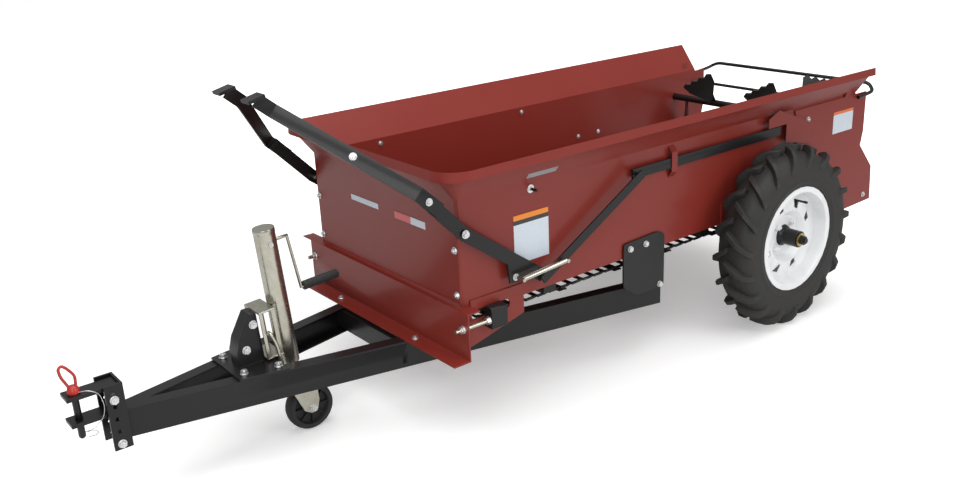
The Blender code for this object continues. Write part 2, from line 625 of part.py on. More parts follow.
def ribbon(name, points, width, thick, origin):
    """Flat bar bent along a path, its width kept square to the path and near the lever plane."""
    centre = [from_axle(*p) - origin for p in points]
    mesh = bpy.data.meshes.new(name)
    work = bmesh.new()
    loops = []
    for i, here in enumerate(centre):
        ahead = (centre[min(i + 1, len(centre) - 1)] - centre[max(i - 1, 0)]).normalized()
        upright = Vector((0, 0.68, 0.73))
        upright = (upright - ahead * upright.dot(ahead)).normalized()
        across = ahead.cross(upright)
        ring = [here + upright * a * width / 2 + across * b * thick / 2 for a, b in ((1, 1), (-1, 1), (-1, -1),
                                                                                    (1, -1))]
        loops.append([work.verts.new(v) for v in ring])
    for one, two in zip(loops, loops[1:]):
        for k in range(4):
            work.faces.new((one[k], one[(k + 1) % 4], two[(k + 1) % 4], two[k]))
    work.faces.new(loops[0])
    work.faces.new(loops[-1][::-1])
    bmesh.ops.recalc_face_normals(work, faces=work.faces)
    work.to_mesh(mesh)
    work.free()
    return add(name, mesh, "black_paint", origin)


for side_name, sign in SIDE_SIGN.items():
    pivot = from_axle(sign * LEVER_X, PIVOT[0], PIVOT[1])
    lower = to_mesh_object(plate("lever_lower_" + side_name, [LEVER_OUTLINE, circle(0, 0, 0.0068, 16)], BAR_T, None,
                                 pivot), "black_paint", pivot)
    link_pin = cylinder("link_pin_" + side_name, (sign * LEVER_X, *LOWER_END),
                        (sign * (LINK_X - BAR_T / 2 - SEAT), *LOWER_END), 0.0060, None, 16, home=cutters)
    boolean(lower, link_pin, "UNION")
    cylinder("pivot_pin_" + side_name, (sign * (HOPPER_W + SEAT), *PIVOT),
             (sign * (HOPPER_W + 0.0275), *PIVOT), 0.0060, "zinc", 16)
    arm = ribbon("lever_upper_" + side_name, [(sign * x, y, z) for x, y, z in UPPER_PATH], 0.036, BAR_T, pivot)
    pad = box("grip_pad_" + side_name, (-0.021, -0.023, -0.004), (0.021, 0.023, 0.004), None, home=cutters)
    pad.location = from_axle(sign * 0.080, -1.597, 0.950)
    pad.rotation_euler = (math.radians(14), 0, 0)
    boolean(arm, pad, "UNION")

    link_pivot = from_axle(sign * LINK_X, *LOWER_END)
    link_line = [(-0.012, -0.007), (LINK_TOP[0] - LOWER_END[0] + 0.008, LINK_TOP[1] - LOWER_END[1] + 0.004)]
    plate("link_bar_" + side_name, [strip(link_line, 0.026)], BAR_T, "black_paint", link_pivot)
    slide = to_mesh_object(plate("slide_bar_" + side_name, [strip([(-0.612, 0.612), (0.070, 0.614)], 0.030)], BAR_T,
                                 None, from_axle(sign * SLIDE_X, 0, 0)), "black_paint")
    slide_pin = cylinder("slide_pin_" + side_name, (sign * SLIDE_X, *LINK_TOP),
                         (sign * (LINK_X - BAR_T / 2 - SEAT), *LINK_TOP), 0.0060, None, 16, home=cutters)
    boolean(slide, slide_pin, "UNION")
    strap = [(sign * (HOPPER_W + out), z) for out, z in STRAP]
    plate("guide_strap_" + side_name, [strap], 0.024, "red_paint", from_axle(0, -0.440, 0), IN_XZ)
    spring = cylinder("spring_link_" + side_name, (sign * SPRING_X, *SPRING_ENDS[0]), (sign * SPRING_X,
                      *SPRING_ENDS[1]), 0.0075, "zinc", 16)
    for label, spot, inner in (("front", SPRING_ENDS[0], LEVER_X + BAR_T / 2 + SEAT),
                               ("rear", SPRING_ENDS[1], LINK_X + BAR_T / 2 + SEAT)):
        stub = cylinder("spring_stub_%s_%s" % (label, side_name), (sign * inner, *spot), (sign * (SPRING_X + 0.009),
                        *spot), 0.0055, None, 12, home=cutters)
        boolean(spring, stub, "UNION")

# Tongue jack: mount across the rails, leaning tube, crank, inner tube and trailing caster.
base = plate("jack_mount", [[(-0.088, -1.730), (0.088, -1.730), (0.112, -1.603), (-0.112, -1.603)]], 0.006, None,
             (0, AXLE_Y, RAIL_TOP + SEAT + 0.003), (0, 0, 0))
base = to_mesh_object(base, "black_paint")
mount_rear = JACK_Y - JACK_R
MOUNT = [(-1.700, RAIL_TOP + 0.003), (mount_rear - 0.0225, RAIL_TOP + 0.003), (mount_rear - 0.0321, 0.392),
         (-1.656, 0.392),
         (-1.692, 0.330), (-1.702, 0.296)]
boolean(base, tool_mesh(plate("mount_block", [MOUNT], 0.050, None, (0, AXLE_Y, 0))), "UNION")
jack_top = from_axle(0, JACK_Y, JACK_TOP)
jack = empty("jack_frame", jack_top, (JACK_LEAN, 0, 0))
TUBE_LEN = 0.385
TUBE_BORE = JACK_R - 0.003
INNER_TOP = 0.100
CROWN = 0.4596             # underside of the inner tube, down the jack axis
CASTER_DROP = 0.5391
CASTER_TRAIL = 0.033
turned("jack_tube", [(0, 0), (JACK_R, 0), (JACK_R, -TUBE_LEN), (TUBE_BORE, -TUBE_LEN), (TUBE_BORE, -0.008),
                     (0, -0.008)], "zinc", (0, 0, 0), "Z", parent=jack)
turned("jack_inner_tube", [(0, -INNER_TOP), (TUBE_BORE - RUN, -INNER_TOP), (TUBE_BORE - RUN, -CROWN), (0, -CROWN)],
       "zinc", (0, 0, 0), "Z", parent=jack)
ring = JACK_R + 0.014
ring_out = [(-ring, -0.202), (ring, -0.202), (ring, -0.338), (-ring, -0.338)]
ring_in = [(-ring + 0.004, -0.206), (ring - 0.004, -0.206), (ring - 0.004, -0.334), (-ring + 0.004, -0.334)]
plate("jack_bracket", [ring_out, ring_in[::-1]], 0.046, "zinc", (0, -JACK_R - SEAT - 0.023, 0), IN_XZ, jack)
CRANK = [(0, JACK_R + 0.0008, -0.040), (0, 0.060, -0.040), (0, 0.074, -0.192), (0, 0.096, -0.192)]
crank_curve = rod("jack_crank", [(0, 0, 0), (0, 1, 0)], 0.0055, "zinc")
crank_curve.parent = jack
crank_spline = crank_curve.data.splines[0]
crank_spline.points.add(len(CRANK) - 2)
for point, co in zip(crank_spline.points, CRANK):
    point.co = (co[0], co[1], co[2], 1)
turned("crank_grip", [(0, 0.0964), (0.0058, 0.0964), (0.0058, 0.080), (0.0125, 0.080), (0.0125, 0.186), (0, 0.186)],
       "grip_rubber", (0, 0, -0.192), "Y", parent=jack)
FORK_X = 0.0265
FORK = [(-FORK_X, -CROWN - 0.0005), (FORK_X, -CROWN - 0.0005), (FORK_X, -CASTER_DROP - 0.018),
        (FORK_X - 0.003, -CASTER_DROP - 0.018), (FORK_X - 0.003, -CROWN - 0.0045), (-FORK_X + 0.003, -CROWN - 0.0045),
        (-FORK_X + 0.003, -CASTER_DROP - 0.018), (-FORK_X, -CASTER_DROP - 0.018)]
fork = plate("caster_fork", [FORK], 0.076, "zinc", (0, 0.018, 0), IN_XZ, jack)
caster_centre = (0, CASTER_TRAIL, -CASTER_DROP)
settle()
fork = to_mesh_object(fork, "zinc", jack.matrix_world @ Vector((0, 0, -CROWN)))
wheel_spot = jack.matrix_world @ Vector(caster_centre) - Vector((0, AXLE_Y, 0))
spindle = cylinder("caster_spindle", (-0.0250, wheel_spot.y, wheel_spot.z), (0.0250, wheel_spot.y, wheel_spot.z),
                   0.0060, None, 16, home=cutters)
boolean(fork, spindle, "UNION")
CASTER = [(0.0065, -0.022), (0.018, -0.022), (0.022, -0.012), (0.050, -0.012), (0.054, -0.020), (CASTER_R - 0.004,
          -0.020), (CASTER_R, -0.015), (CASTER_R, 0.015), (CASTER_R - 0.004, 0.020), (0.054, 0.020), (0.050, 0.012),
          (0.022, 0.012), (0.018, 0.022), (0.0065, 0.022)]
turned("caster_wheel", CASTER[::-1], "caster_plastic", caster_centre, "X", close=True, parent=jack)
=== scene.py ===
"""Looks of an open-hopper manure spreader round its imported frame: finishes, trim, camera, light, floor."""
import json
import math

import bmesh
import bpy
from mathutils import Matrix, Vector

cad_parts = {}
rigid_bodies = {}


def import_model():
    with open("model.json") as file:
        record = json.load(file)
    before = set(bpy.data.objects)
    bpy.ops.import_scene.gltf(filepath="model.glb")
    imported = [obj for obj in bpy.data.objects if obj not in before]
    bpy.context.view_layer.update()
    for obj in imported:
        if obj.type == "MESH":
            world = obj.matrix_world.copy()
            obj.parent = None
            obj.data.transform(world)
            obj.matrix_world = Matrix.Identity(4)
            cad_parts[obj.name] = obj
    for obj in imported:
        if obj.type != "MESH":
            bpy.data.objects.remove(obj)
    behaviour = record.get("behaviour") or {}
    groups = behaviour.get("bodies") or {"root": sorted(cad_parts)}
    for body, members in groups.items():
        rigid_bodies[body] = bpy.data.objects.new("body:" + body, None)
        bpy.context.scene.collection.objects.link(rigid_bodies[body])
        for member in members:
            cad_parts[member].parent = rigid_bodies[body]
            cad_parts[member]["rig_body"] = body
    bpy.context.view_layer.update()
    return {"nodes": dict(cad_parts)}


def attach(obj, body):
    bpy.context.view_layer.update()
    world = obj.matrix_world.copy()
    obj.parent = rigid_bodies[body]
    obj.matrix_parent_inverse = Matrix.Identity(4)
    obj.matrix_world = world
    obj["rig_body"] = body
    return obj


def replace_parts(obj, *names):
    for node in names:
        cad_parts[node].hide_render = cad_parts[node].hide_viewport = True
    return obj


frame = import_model()
NODES = frame["nodes"]

# Main sizes of the frame that the trim is set out from, in metres. Y is given from the wheel axle.
AXLE_Y = 0.744
AXLE_Z = 0.2965
WHEEL_X = 0.449
SIDE_FACE = 0.3572         # outer face of the hopper side
PLATE_FACE = 0.3614        # outer face of the rear and tensioner plates
FRONT_FACE = -1.2242       # outer face of the hopper front
SIDES = {"left": 1, "right": -1}


def at(x, y, z):
    """A point in the row frame, with y given from the axle."""
    return Vector((x, y + AXLE_Y, z))


# ---------------------------------------------------------------- shader expressions
class Wire:
    """A value socket that takes arithmetic: each operator adds a Math node."""

    def __init__(self, tree, socket):
        self.tree, self.socket = tree, socket

    def maths(self, operation, *values):
        node = self.tree.nodes.new("ShaderNodeMath")
        node.operation = operation
        for slot, value in zip(node.inputs, values):
            plug(self.tree, slot, value)
        return Wire(self.tree, node.outputs[0])

    def __add__(self, other):
        return self.maths("ADD", self, other)

    def __sub__(self, other):
        return self.maths("SUBTRACT", self, other)

    def __mul__(self, other):
        return self.maths("MULTIPLY", self, other)

    def __truediv__(self, other):
        return self.maths("DIVIDE", self, other)

    def __radd__(self, other):
        return self.maths("ADD", other, self)

    def __rsub__(self, other):
        return self.maths("SUBTRACT", other, self)

    def __rmul__(self, other):
        return self.maths("MULTIPLY", other, self)


def plug(tree, socket, value):
    """Links a wire or a socket, or sets a plain value."""
    if isinstance(value, Wire):
        value = value.socket
    if isinstance(value, bpy.types.NodeSocket):
        tree.links.new(value, socket)
    else:
        socket.default_value = value


class Paint:
    """One material's node tree, with a method for each kind of node that it needs."""

    def __init__(self, name):
        self.material = bpy.data.materials.new(name)
        self.material.use_nodes = True
        self.tree = self.material.node_tree
        self.shader = self.tree.nodes["Principled BSDF"]
        self.place = self.node("ShaderNodeTexCoord", out="Object").socket

    def node(self, kind, settings=(), out=0, **sockets):
        made = self.tree.nodes.new(kind)
        for key, value in dict(settings).items():
            setattr(made, key, value)
        for key, value in sockets.items():
            plug(self.tree, made.inputs[key.replace("_", " ")], value)
        return Wire(self.tree, made.outputs[out])

    def noise(self, scale, detail=3.0, rough=0.55):
        return self.node("ShaderNodeTexNoise", Vector=self.place, Scale=scale, Detail=detail, Roughness=rough)

    def ramp(self, wire, low, high):
        """Rises from 0 to 1 between the two values."""
        return self.node("ShaderNodeMapRange", {"clamp": True}, Value=wire, From_Min=low, From_Max=high)

    def mix(self, factor, first, second):
        made = self.tree.nodes.new("ShaderNodeMix")
        made.data_type = "RGBA"
        plug(self.tree, made.inputs[0], factor)
        plug(self.tree, made.inputs[6], first)
        plug(self.tree, made.inputs[7], second)
        return made.outputs[2]

    def bump(self, height, strength, distance):
        return self.node("ShaderNodeBump", Height=height, Strength=strength, Distance=distance)

    def set(self, **sockets):
        for key, value in sockets.items():
            plug(self.tree, self.shader.inputs[key.replace("_", " ")], value)
        return self.material


def rgb(red, green, blue):
    return (red, green, blue, 1.0)


def powder_coat(name, base, dusty, roughness, coat):
    """Sprayed paint: faint orange peel, soft colour drift and a trace of dust in darker patches at random."""
    paint = Paint(name)
    drift = paint.ramp(paint.noise(3.0), 0.35, 0.7)
    marks = paint.ramp(paint.noise(26.0, 6.0, 0.7), 0.62, 0.78)
    peel = paint.noise(520.0, 2.0)
    colour = paint.mix(drift * 0.35, base, dusty)
    colour = paint.mix(marks * 0.12, colour, rgb(*(0.5 * value for value in base[:3])))
    return paint.set(Base_Color=colour, Roughness=roughness + 0.06 * drift + 0.08 * marks, Coat_Weight=coat,
                     Coat_Roughness=0.12, Specular_IOR_Level=0.30, Normal=paint.bump(peel, 0.10, 0.0004))


def plated_zinc():
    """Yellowish zinc plate with a fine crystalline mottling."""
    paint = Paint("zinc_plate")
    spangle = paint.ramp(paint.noise(60.0, 4.0, 0.6), 0.35, 0.68)
    worn = paint.ramp(paint.noise(9.0, 5.0, 0.65), 0.45, 0.7)
    colour = paint.mix(spangle, rgb(0.46, 0.44, 0.36), rgb(0.54, 0.53, 0.46))
    colour = paint.mix(worn * 0.22, colour, rgb(0.40, 0.37, 0.27))
    return paint.set(Base_Color=colour, Metallic=0.95, Roughness=0.20 + 0.06 * spangle + 0.06 * worn,
                     Normal=paint.bump(spangle, 0.04, 0.0004))


def bare_steel():
    """Dark blackened chain steel with brighter rubbed patches."""
    paint = Paint("chain_steel_finish")
    rub = paint.ramp(paint.noise(22.0, 5.0, 0.65), 0.45, 0.72)
    colour = paint.mix(rub, rgb(0.018, 0.017, 0.016), rgb(0.085, 0.075, 0.065))
    return paint.set(Base_Color=colour, Metallic=0.6, Roughness=0.58 - 0.16 * rub,
                     Normal=paint.bump(paint.noise(160.0), 0.25, 0.0008))


def rubber(name, base, dust, bump):
    """Moulded rubber with a faint bloom of dust."""
    paint = Paint(name)
    bloom = paint.ramp(paint.noise(11.0, 5.0, 0.6), 0.4, 0.75)
    grain = paint.noise(380.0, 3.0)
    return paint.set(Base_Color=paint.mix(bloom * 0.5, base, dust), Roughness=0.62 + 0.14 * bloom,
                     Normal=paint.bump(grain, bump, 0.0006))


def white_enamel():
    """White wheel enamel with slight greying from soil in random patches."""
    paint = Paint("white_enamel")
    soil = paint.ramp(paint.noise(14.0, 5.0, 0.65), 0.5, 0.78)
    return paint.set(Base_Color=paint.mix(soil * 0.4, rgb(0.80, 0.81, 0.82), rgb(0.58, 0.57, 0.55)),
                     Roughness=0.30 + 0.12 * soil, Coat_Weight=0.3,
                     Normal=paint.bump(paint.noise(420.0), 0.06, 0.0004))


def bright_zinc():
    """Clear zinc plate on bolts and nuts."""
    paint = Paint("bright_zinc_plate")
    spangle = paint.ramp(paint.noise(140.0, 3.0, 0.6), 0.35, 0.68)
    colour = paint.mix(spangle, rgb(0.60, 0.61, 0.62), rgb(0.78, 0.78, 0.77))
    return paint.set(Base_Color=colour, Metallic=0.85, Roughness=0.24 + 0.14 * spangle,
                     Normal=paint.bump(spangle, 0.06, 0.0005))


def brass():
    """Yellow passivated castle nut."""
    paint = Paint("yellow_passivated_nut")
    cloud = paint.ramp(paint.noise(90.0, 3.0, 0.6), 0.35, 0.68)
    return paint.set(Base_Color=paint.mix(cloud, rgb(0.40, 0.26, 0.08), rgb(0.62, 0.47, 0.20)), Metallic=0.85,
                     Roughness=0.28 + 0.16 * cloud, Normal=paint.bump(cloud, 0.08, 0.0005))


def label(name, bands):
    """Blank printed film: a pale field below coloured bands, given as (lower edge, colour) from the top."""
    paint = Paint(name)
    height = paint.node("ShaderNodeSeparateXYZ", Vector=paint.place, out="Z")
    scuff = paint.ramp(paint.noise(70.0, 5.0, 0.7), 0.45, 0.75)
    colour = paint.mix(scuff * 0.5, rgb(0.60, 0.66, 0.73), rgb(0.52, 0.57, 0.63))
    for edge, tint in bands[::-1]:
        colour = paint.mix(paint.ramp(height, edge - 0.0003, edge + 0.0003), colour, tint)
    return paint.set(Base_Color=colour, Roughness=0.34 + 0.10 * scuff,
                     Normal=paint.bump(paint.noise(200.0), 0.05, 0.0003))


def reflector():
    """Grey retro-reflective tape with a fine cell pattern."""
    paint = Paint("grey_reflective_tape")
    cells = paint.node("ShaderNodeTexVoronoi", Vector=paint.place, Scale=420.0, out="Distance")
    colour = paint.mix(paint.ramp(cells, 0.1, 0.6), rgb(0.44, 0.45, 0.46), rgb(0.30, 0.31, 0.32))
    return paint.set(Base_Color=colour, Metallic=0.25, Roughness=0.30, Normal=paint.bump(cells, 0.15, 0.0004))


FINISH = {
    "red_paint": powder_coat("red_powder_coat", rgb(0.205, 0.022, 0.015), rgb(0.222, 0.030, 0.021),
                             0.36, 0.12),
    "black_paint": powder_coat("black_powder_coat", rgb(0.0060, 0.0060, 0.0062), rgb(0.010, 0.010, 0.0098),
                               0.34, 0.15),
    "zinc": plated_zinc(),
    "white_paint": white_enamel(),
    "tyre_rubber": rubber("tyre_rubber_finish", rgb(0.012, 0.0115, 0.011), rgb(0.036, 0.032, 0.027), 0.25),
    "grip_rubber": rubber("grip_rubber_finish", rgb(0.012, 0.012, 0.012), rgb(0.026, 0.025, 0.024), 0.30),
    "caster_plastic": rubber("caster_plastic_finish", rgb(0.012, 0.012, 0.013), rgb(0.026, 0.026, 0.026),
                             0.12),
    "chain_steel": bare_steel(),
    "pin_red": powder_coat("pin_red_finish", rgb(0.46, 0.030, 0.020), rgb(0.38, 0.035, 0.022), 0.35, 0.25),
    "bright_zinc": bright_zinc(),
    "brass_nut": brass(),
    "side_label": label("side_label_print", ((0.573, rgb(0.78, 0.24, 0.02)), (0.561, rgb(0.03, 0.03, 0.03)))),
    "rear_label": label("rear_label_print", ((0.609, rgb(0.72, 0.16, 0.04)),)),
    "white_sticker": label("white_sticker_print", ()),
    "pink_sticker": label("pink_sticker_print", ((0.0, rgb(0.60, 0.12, 0.13)),)),
    "grey_reflector": reflector(),
}


# ---------------------------------------------------------------- mesh helpers
def piece_from(name, work, finish, body, sharp=38.0):
    """Turns a bmesh into a finished piece that rides on a body."""
    mesh = bpy.data.meshes.new(name)
    bmesh.ops.remove_doubles(work, verts=work.verts, dist=0.000005)
    bmesh.ops.recalc_face_normals(work, faces=work.faces)
    work.to_mesh(mesh)
    work.free()
    return piece_of(name, mesh, finish, body, sharp)


def piece_of(name, mesh, finish, body, sharp=38.0):
    mesh.shade_smooth()
    mesh.set_sharp_from_angle(angle=math.radians(sharp))
    mesh.materials.clear()
    mesh.materials.append(FINISH[finish])
    piece = bpy.data.objects.new(name, mesh)
    bpy.context.scene.collection.objects.link(piece)
    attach(piece, body)
    return piece


def soften(piece, width, segments=2):
    """Rounds the piece's sharp edges."""
    edge = piece.modifiers.new("edge", "BEVEL")
    edge.width = width
    edge.segments = segments
    edge.limit_method = "ANGLE"
    edge.angle_limit = math.radians(40)
    edge.harden_normals = True
    return piece


def block(work, low, high):
    """A box between two corners."""
    made = bmesh.ops.create_cube(work, size=1.0)["verts"]
    low, high = Vector(low), Vector(high)
    bmesh.ops.scale(work, vec=high - low, verts=made)
    bmesh.ops.translate(work, vec=(low + high) / 2, verts=made)
    return made


def slab(work, outline, thickness, place):
    """A flat outline in the local XY plane, thickened about it, then placed."""
    front = [work.verts.new(place @ Vector((x, y, thickness / 2))) for x, y in outline]
    back = [work.verts.new(place @ Vector((x, y, -thickness / 2))) for x, y in outline]
    work.faces.new(front)
    work.faces.new(back[::-1])
    for k in range(len(front)):
        after = (k + 1) % len(front)
        work.faces.new((front[k], back[k], back[after], front[after]))


def tube(work, path, radius, sides=10, closed=False, flat=1.0):
    """A round bar along a path; flat squeezes it across its second axis."""
    path = [Vector(p) for p in path]
    rings = []
    count = len(path)
    side = None
    for i, here in enumerate(path):
        before = path[i - 1] if closed or i else here
        after = path[(i + 1) % count] if closed or i + 1 < count else here
        along = (after - before).normalized()
        side = (side - along * side.dot(along)) if side else along.orthogonal()
        side.normalize()
        up = along.cross(side)
        rings.append([work.verts.new(here + radius * (math.cos(t) * side + flat * math.sin(t) * up))
                      for t in (2 * math.pi * k / sides for k in range(sides))])
    pairs = list(zip(rings, rings[1:])) + ([(rings[-1], rings[0])] if closed else [])
    for one, two in pairs:
        for k in range(sides):
            work.faces.new((one[k], one[(k + 1) % sides], two[(k + 1) % sides], two[k]))
    if not closed:
        work.faces.new(rings[0][::-1])
        work.faces.new(rings[-1])


def eased(path, radius, steps=5):
    """A path with its corners rounded."""
    path = [Vector(p) for p in path]
    out = [path[0]]
    for before, here, after in zip(path, path[1:], path[2:]):
        into, away = before - here, after - here
        reach = min(radius, 0.45 * into.length, 0.45 * away.length)
        start, end = here + into.normalized() * reach, here + away.normalized() * reach
        for k in range(steps + 1):
            t = k / steps
            out.append((1 - t) ** 2 * start + 2 * t * (1 - t) * here + t ** 2 * end)
    return out + [path[-1]]


def lathe(work, profile, place, steps=48, closed=False):
    """A profile of (radius, height) pairs turned about the local Z axis, then placed."""
    rings = []
    for radius, height in profile:
        if radius < 1e-6:
            rings.append([work.verts.new(place @ Vector((0, 0, height)))])
        else:
            rings.append([work.verts.new(place @ Vector((radius * math.cos(t), radius * math.sin(t), height)))
                          for t in (2 * math.pi * k / steps for k in range(steps))])
    pairs = list(zip(rings, rings[1:])) + ([(rings[-1], rings[0])] if closed else [])
    for one, two in pairs:
        for k in range(steps):
            after = (k + 1) % steps
            loop = [one[k % len(one)], one[after % len(one)], two[after % len(two)], two[k % len(two)]]
            loop = list(dict.fromkeys(loop))
            if len(loop) > 2:
                work.faces.new(loop)


ALONG_X = Matrix.Rotation(math.pi / 2, 4, "Y")
YZ_PLANE = Matrix(((0, 0, 1, 0), (1, 0, 0, 0), (0, 1, 0, 0), (0, 0, 0, 1)))   # outline (a, b) to y = a, z = b


def outward(sign):
    """Turns the local Z axis to the outside of the given side."""
    return ALONG_X if sign > 0 else ALONG_X.inverted()


def placed(x, y, z, turn=None):
    """A place in the row frame, with y from the axle and an optional rotation matrix."""
    return Matrix.Translation(at(x, y, z)) @ (turn or Matrix.Identity(4))


# ---------------------------------------------------------------- node trees for what repeats
class Growth:
    """A Geometry Nodes tree with named inputs, run on a carrier mesh of points."""

    def __init__(self, name, inputs):
        self.tree = bpy.data.node_groups.new(name, "GeometryNodeTree")
        face = self.tree.interface
        face.new_socket("Geometry", in_out="INPUT", socket_type="NodeSocketGeometry")
        face.new_socket("Geometry", in_out="OUTPUT", socket_type="NodeSocketGeometry")
        self.names = {}
        for label, kind in inputs:
            socket = face.new_socket(label, in_out="INPUT", socket_type="NodeSocket" + kind)
            self.names[label] = socket.identifier
        self.inputs = self.tree.nodes.new("NodeGroupInput")
        self.outputs = self.tree.nodes.new("NodeGroupOutput")

    def node(self, kind, settings=(), **sockets):
        made = self.tree.nodes.new(kind)
        for key, value in dict(settings).items():
            setattr(made, key, value)
        for key, value in sockets.items():
            plug(self.tree, made.inputs[key.replace("_", " ")], value)
        return made

    def given(self, label):
        return Wire(self.tree, self.inputs.outputs[label])

    def end(self, geometry):
        real = self.node("GeometryNodeRealizeInstances", Geometry=geometry)
        coat = self.node("GeometryNodeSetMaterial", Geometry=real.outputs[0], Material=self.given("Finish"))
        self.tree.links.new(coat.outputs[0], self.outputs.inputs[0])

    def grow(self, name, finish, body, points, values, sharp=38.0):
        """points: (place, vector) pairs; the vector is each copy's aim or turn."""
        carrier_mesh = bpy.data.meshes.new(name + "_points")
        carrier_mesh.from_pydata([tuple(place) for place, vector in points], [], [])
        vectors = carrier_mesh.attributes.new("vector", "FLOAT_VECTOR", "POINT")
        vectors.data.foreach_set("vector", [value for place, vector in points for value in vector])
        carrier = bpy.data.objects.new(name + "_points", carrier_mesh)
        bpy.context.scene.collection.objects.link(carrier)
        growth = carrier.modifiers.new("growth", "NODES")
        growth.node_group = self.tree
        for label, value in {**values, "Finish": FINISH[finish]}.items():
            growth[self.names[label]] = value
        carrier.update_tag()
        graph = bpy.context.evaluated_depsgraph_get()
        mesh = bpy.data.meshes.new_from_object(carrier.evaluated_get(graph))
        mesh.name = name
        bpy.data.objects.remove(carrier)
        return piece_of(name, mesh, finish, body, sharp)


def bolt_tree():
    """A washer, a hexagon head and a stud end at each point, standing along the point's vector."""
    sizes = ("Across flats", "Head height", "Washer radius", "Washer height", "Stud radius", "Stud height")
    growth = Growth("hex_bolts", tuple((size, "Float") for size in sizes) + (("Finish", "Material"),))
    washer, head, stud = (growth.given(word + " height") for word in ("Washer", "Head", "Stud"))

    def disc(sides, radius, height, base):
        solid = growth.node("GeometryNodeMeshCylinder", Vertices=sides, Radius=radius, Depth=height)
        lift = growth.node("ShaderNodeCombineXYZ", Z=base + height * 0.5)
        moved = growth.node("GeometryNodeTransform", Geometry=solid.outputs[0], Translation=lift.outputs[0])
        return moved.outputs[0]

    join = growth.node("GeometryNodeJoinGeometry")
    for part in (disc(8, growth.given("Stud radius"), stud, washer + head),
                 disc(6, growth.given("Across flats") * (1 / math.sqrt(3)), head, washer),
                 disc(20, growth.given("Washer radius"), washer, 0.0)):
        growth.tree.links.new(part, join.inputs[0])
    aim = growth.node("GeometryNodeInputNamedAttribute", {"data_type": "FLOAT_VECTOR"}, Name="vector")
    turn = growth.node("FunctionNodeAlignRotationToVector", {"axis": "Z"}, Vector=aim.outputs[0])
    copies = growth.node("GeometryNodeInstanceOnPoints", Points=growth.inputs.outputs[0],
                         Instance=join.outputs[0], Rotation=turn.outputs[0])
    growth.end(copies.outputs[0])
    return growth


def copy_tree():
    """A template object at each point, turned by the point's vector of angles."""
    growth = Growth("turned_copies", (("Template", "Object"), ("Finish", "Material")))
    source = growth.node("GeometryNodeObjectInfo", Object=growth.given("Template"))
    angles = growth.node("GeometryNodeInputNamedAttribute", {"data_type": "FLOAT_VECTOR"}, Name="vector")
    turn = growth.node("FunctionNodeEulerToRotation", Euler=angles.outputs[0])
    copies = growth.node("GeometryNodeInstanceOnPoints", Points=growth.inputs.outputs[0],
                         Instance=source.outputs["Geometry"], Rotation=turn.outputs[0])
    growth.end(copies.outputs[0])
    return growth


BOLTS = bolt_tree()
COPIES = copy_tree()
WASHER_THICK = 0.0014


def bolts(name, body, spots, flats=0.0125, head=0.0050, washer=0.0098, stud=0.0038, tip=0.0022,
          finish="bright_zinc"):
    """spots: (place, aim) pairs in the row frame."""
    sizes = {"Across flats": flats, "Head height": head, "Washer radius": washer,
             "Washer height": WASHER_THICK, "Stud radius": stud, "Stud height": tip}
    return BOLTS.grow(name, finish, body, spots, sizes)


def template(name, work):
    """A mesh object to copy, which isn't part of the model itself."""
    mesh = bpy.data.meshes.new(name)
    bmesh.ops.recalc_face_normals(work, faces=work.faces)
    work.to_mesh(mesh)
    work.free()
    return bpy.data.objects.new(name, mesh)


# ---------------------------------------------------------------- frame nodes: rounded edges and finishes
REPLACED = ("tyre_left", "tyre_right", "apron_chain", "caster_wheel", "crank_grip", "hitch_pin",
            "caster_fork", "jack_bracket")
EDGE_ROUND = 0.0009        # rounding of a node's sharp edges, where EDGE doesn't say otherwise
EDGE = {"tongue_frame": 0.0, "floor_panel": 0.0003, "beater": 0.0006, "jack_crank": 0.0, "guard_hoop": 0.0,
        "guard_bar": 0.0, "side_panel_left": 0.0006, "side_panel_right": 0.0006, "front_panel": 0.0006}
RAIL_LINE = (0.0199, -2.020, 0.337 / 1.545)   # outer face of a rail: half width, place from the axle, slope
FACE_SLACK = 0.0003
MERGE = 0.00002
FLAT_DEGREES = 0.5


def trim_tie(work):
    """Draws the ends of the cross tie back to the outer faces of the converging rails."""
    start, place, slope = RAIL_LINE
    for vert in work.verts:
        face = start + (vert.co.y - AXLE_Y - place) * slope
        if abs(vert.co.x) > face + FACE_SLACK:
            vert.co.x = math.copysign(face, vert.co.x)


def refined(node):
    """A copy of a frame node with its triangles merged, rounded edges and smooth curves."""
    work = bmesh.new()
    work.from_mesh(NODES[node].data)
    bmesh.ops.remove_doubles(work, verts=work.verts, dist=MERGE)
    if node == "tongue_frame":
        trim_tie(work)
    bmesh.ops.dissolve_limit(work, angle_limit=math.radians(FLAT_DEGREES), verts=work.verts, edges=work.edges)
    mesh = bpy.data.meshes.new(node + "_shape")
    work.to_mesh(mesh)
    work.free()
    piece = piece_of(node + "_shape", mesh, SLOT_OF[node], NODES[node]["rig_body"])
    if EDGE.get(node, EDGE_ROUND):
        soften(piece, EDGE.get(node, EDGE_ROUND))
    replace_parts(piece, node)


SLOT_OF = {}
for node_name, node in NODES.items():
    slot = node.data.materials[0].name.split(".")[0] if node.data.materials else "black_paint"
    SLOT_OF[node_name] = slot if slot in FINISH else "black_paint"
    node.data.materials.clear()
    node.data.materials.append(FINISH[SLOT_OF[node_name]])
for node_name in NODES:
    if node_name not in REPLACED:
        refined(node_name)


# ---------------------------------------------------------------- tyres: carcass and chevron lugs
# Half of the carcass section, as (radius, half width) from the bead to the tread.
CARCASS = [(0.1586, 0.0488), (0.1708, 0.0514), (0.1722, 0.0565), (0.1800, 0.0580), (0.1860, 0.0598),
           (0.1890, 0.0612), (0.1925, 0.0598), (0.2050, 0.0606), (0.2250, 0.0604), (0.2420, 0.0580),
           (0.2560, 0.0525), (0.2660, 0.0440), (0.2720, 0.0300), (0.2740, 0.0120)]
LUGS = 19
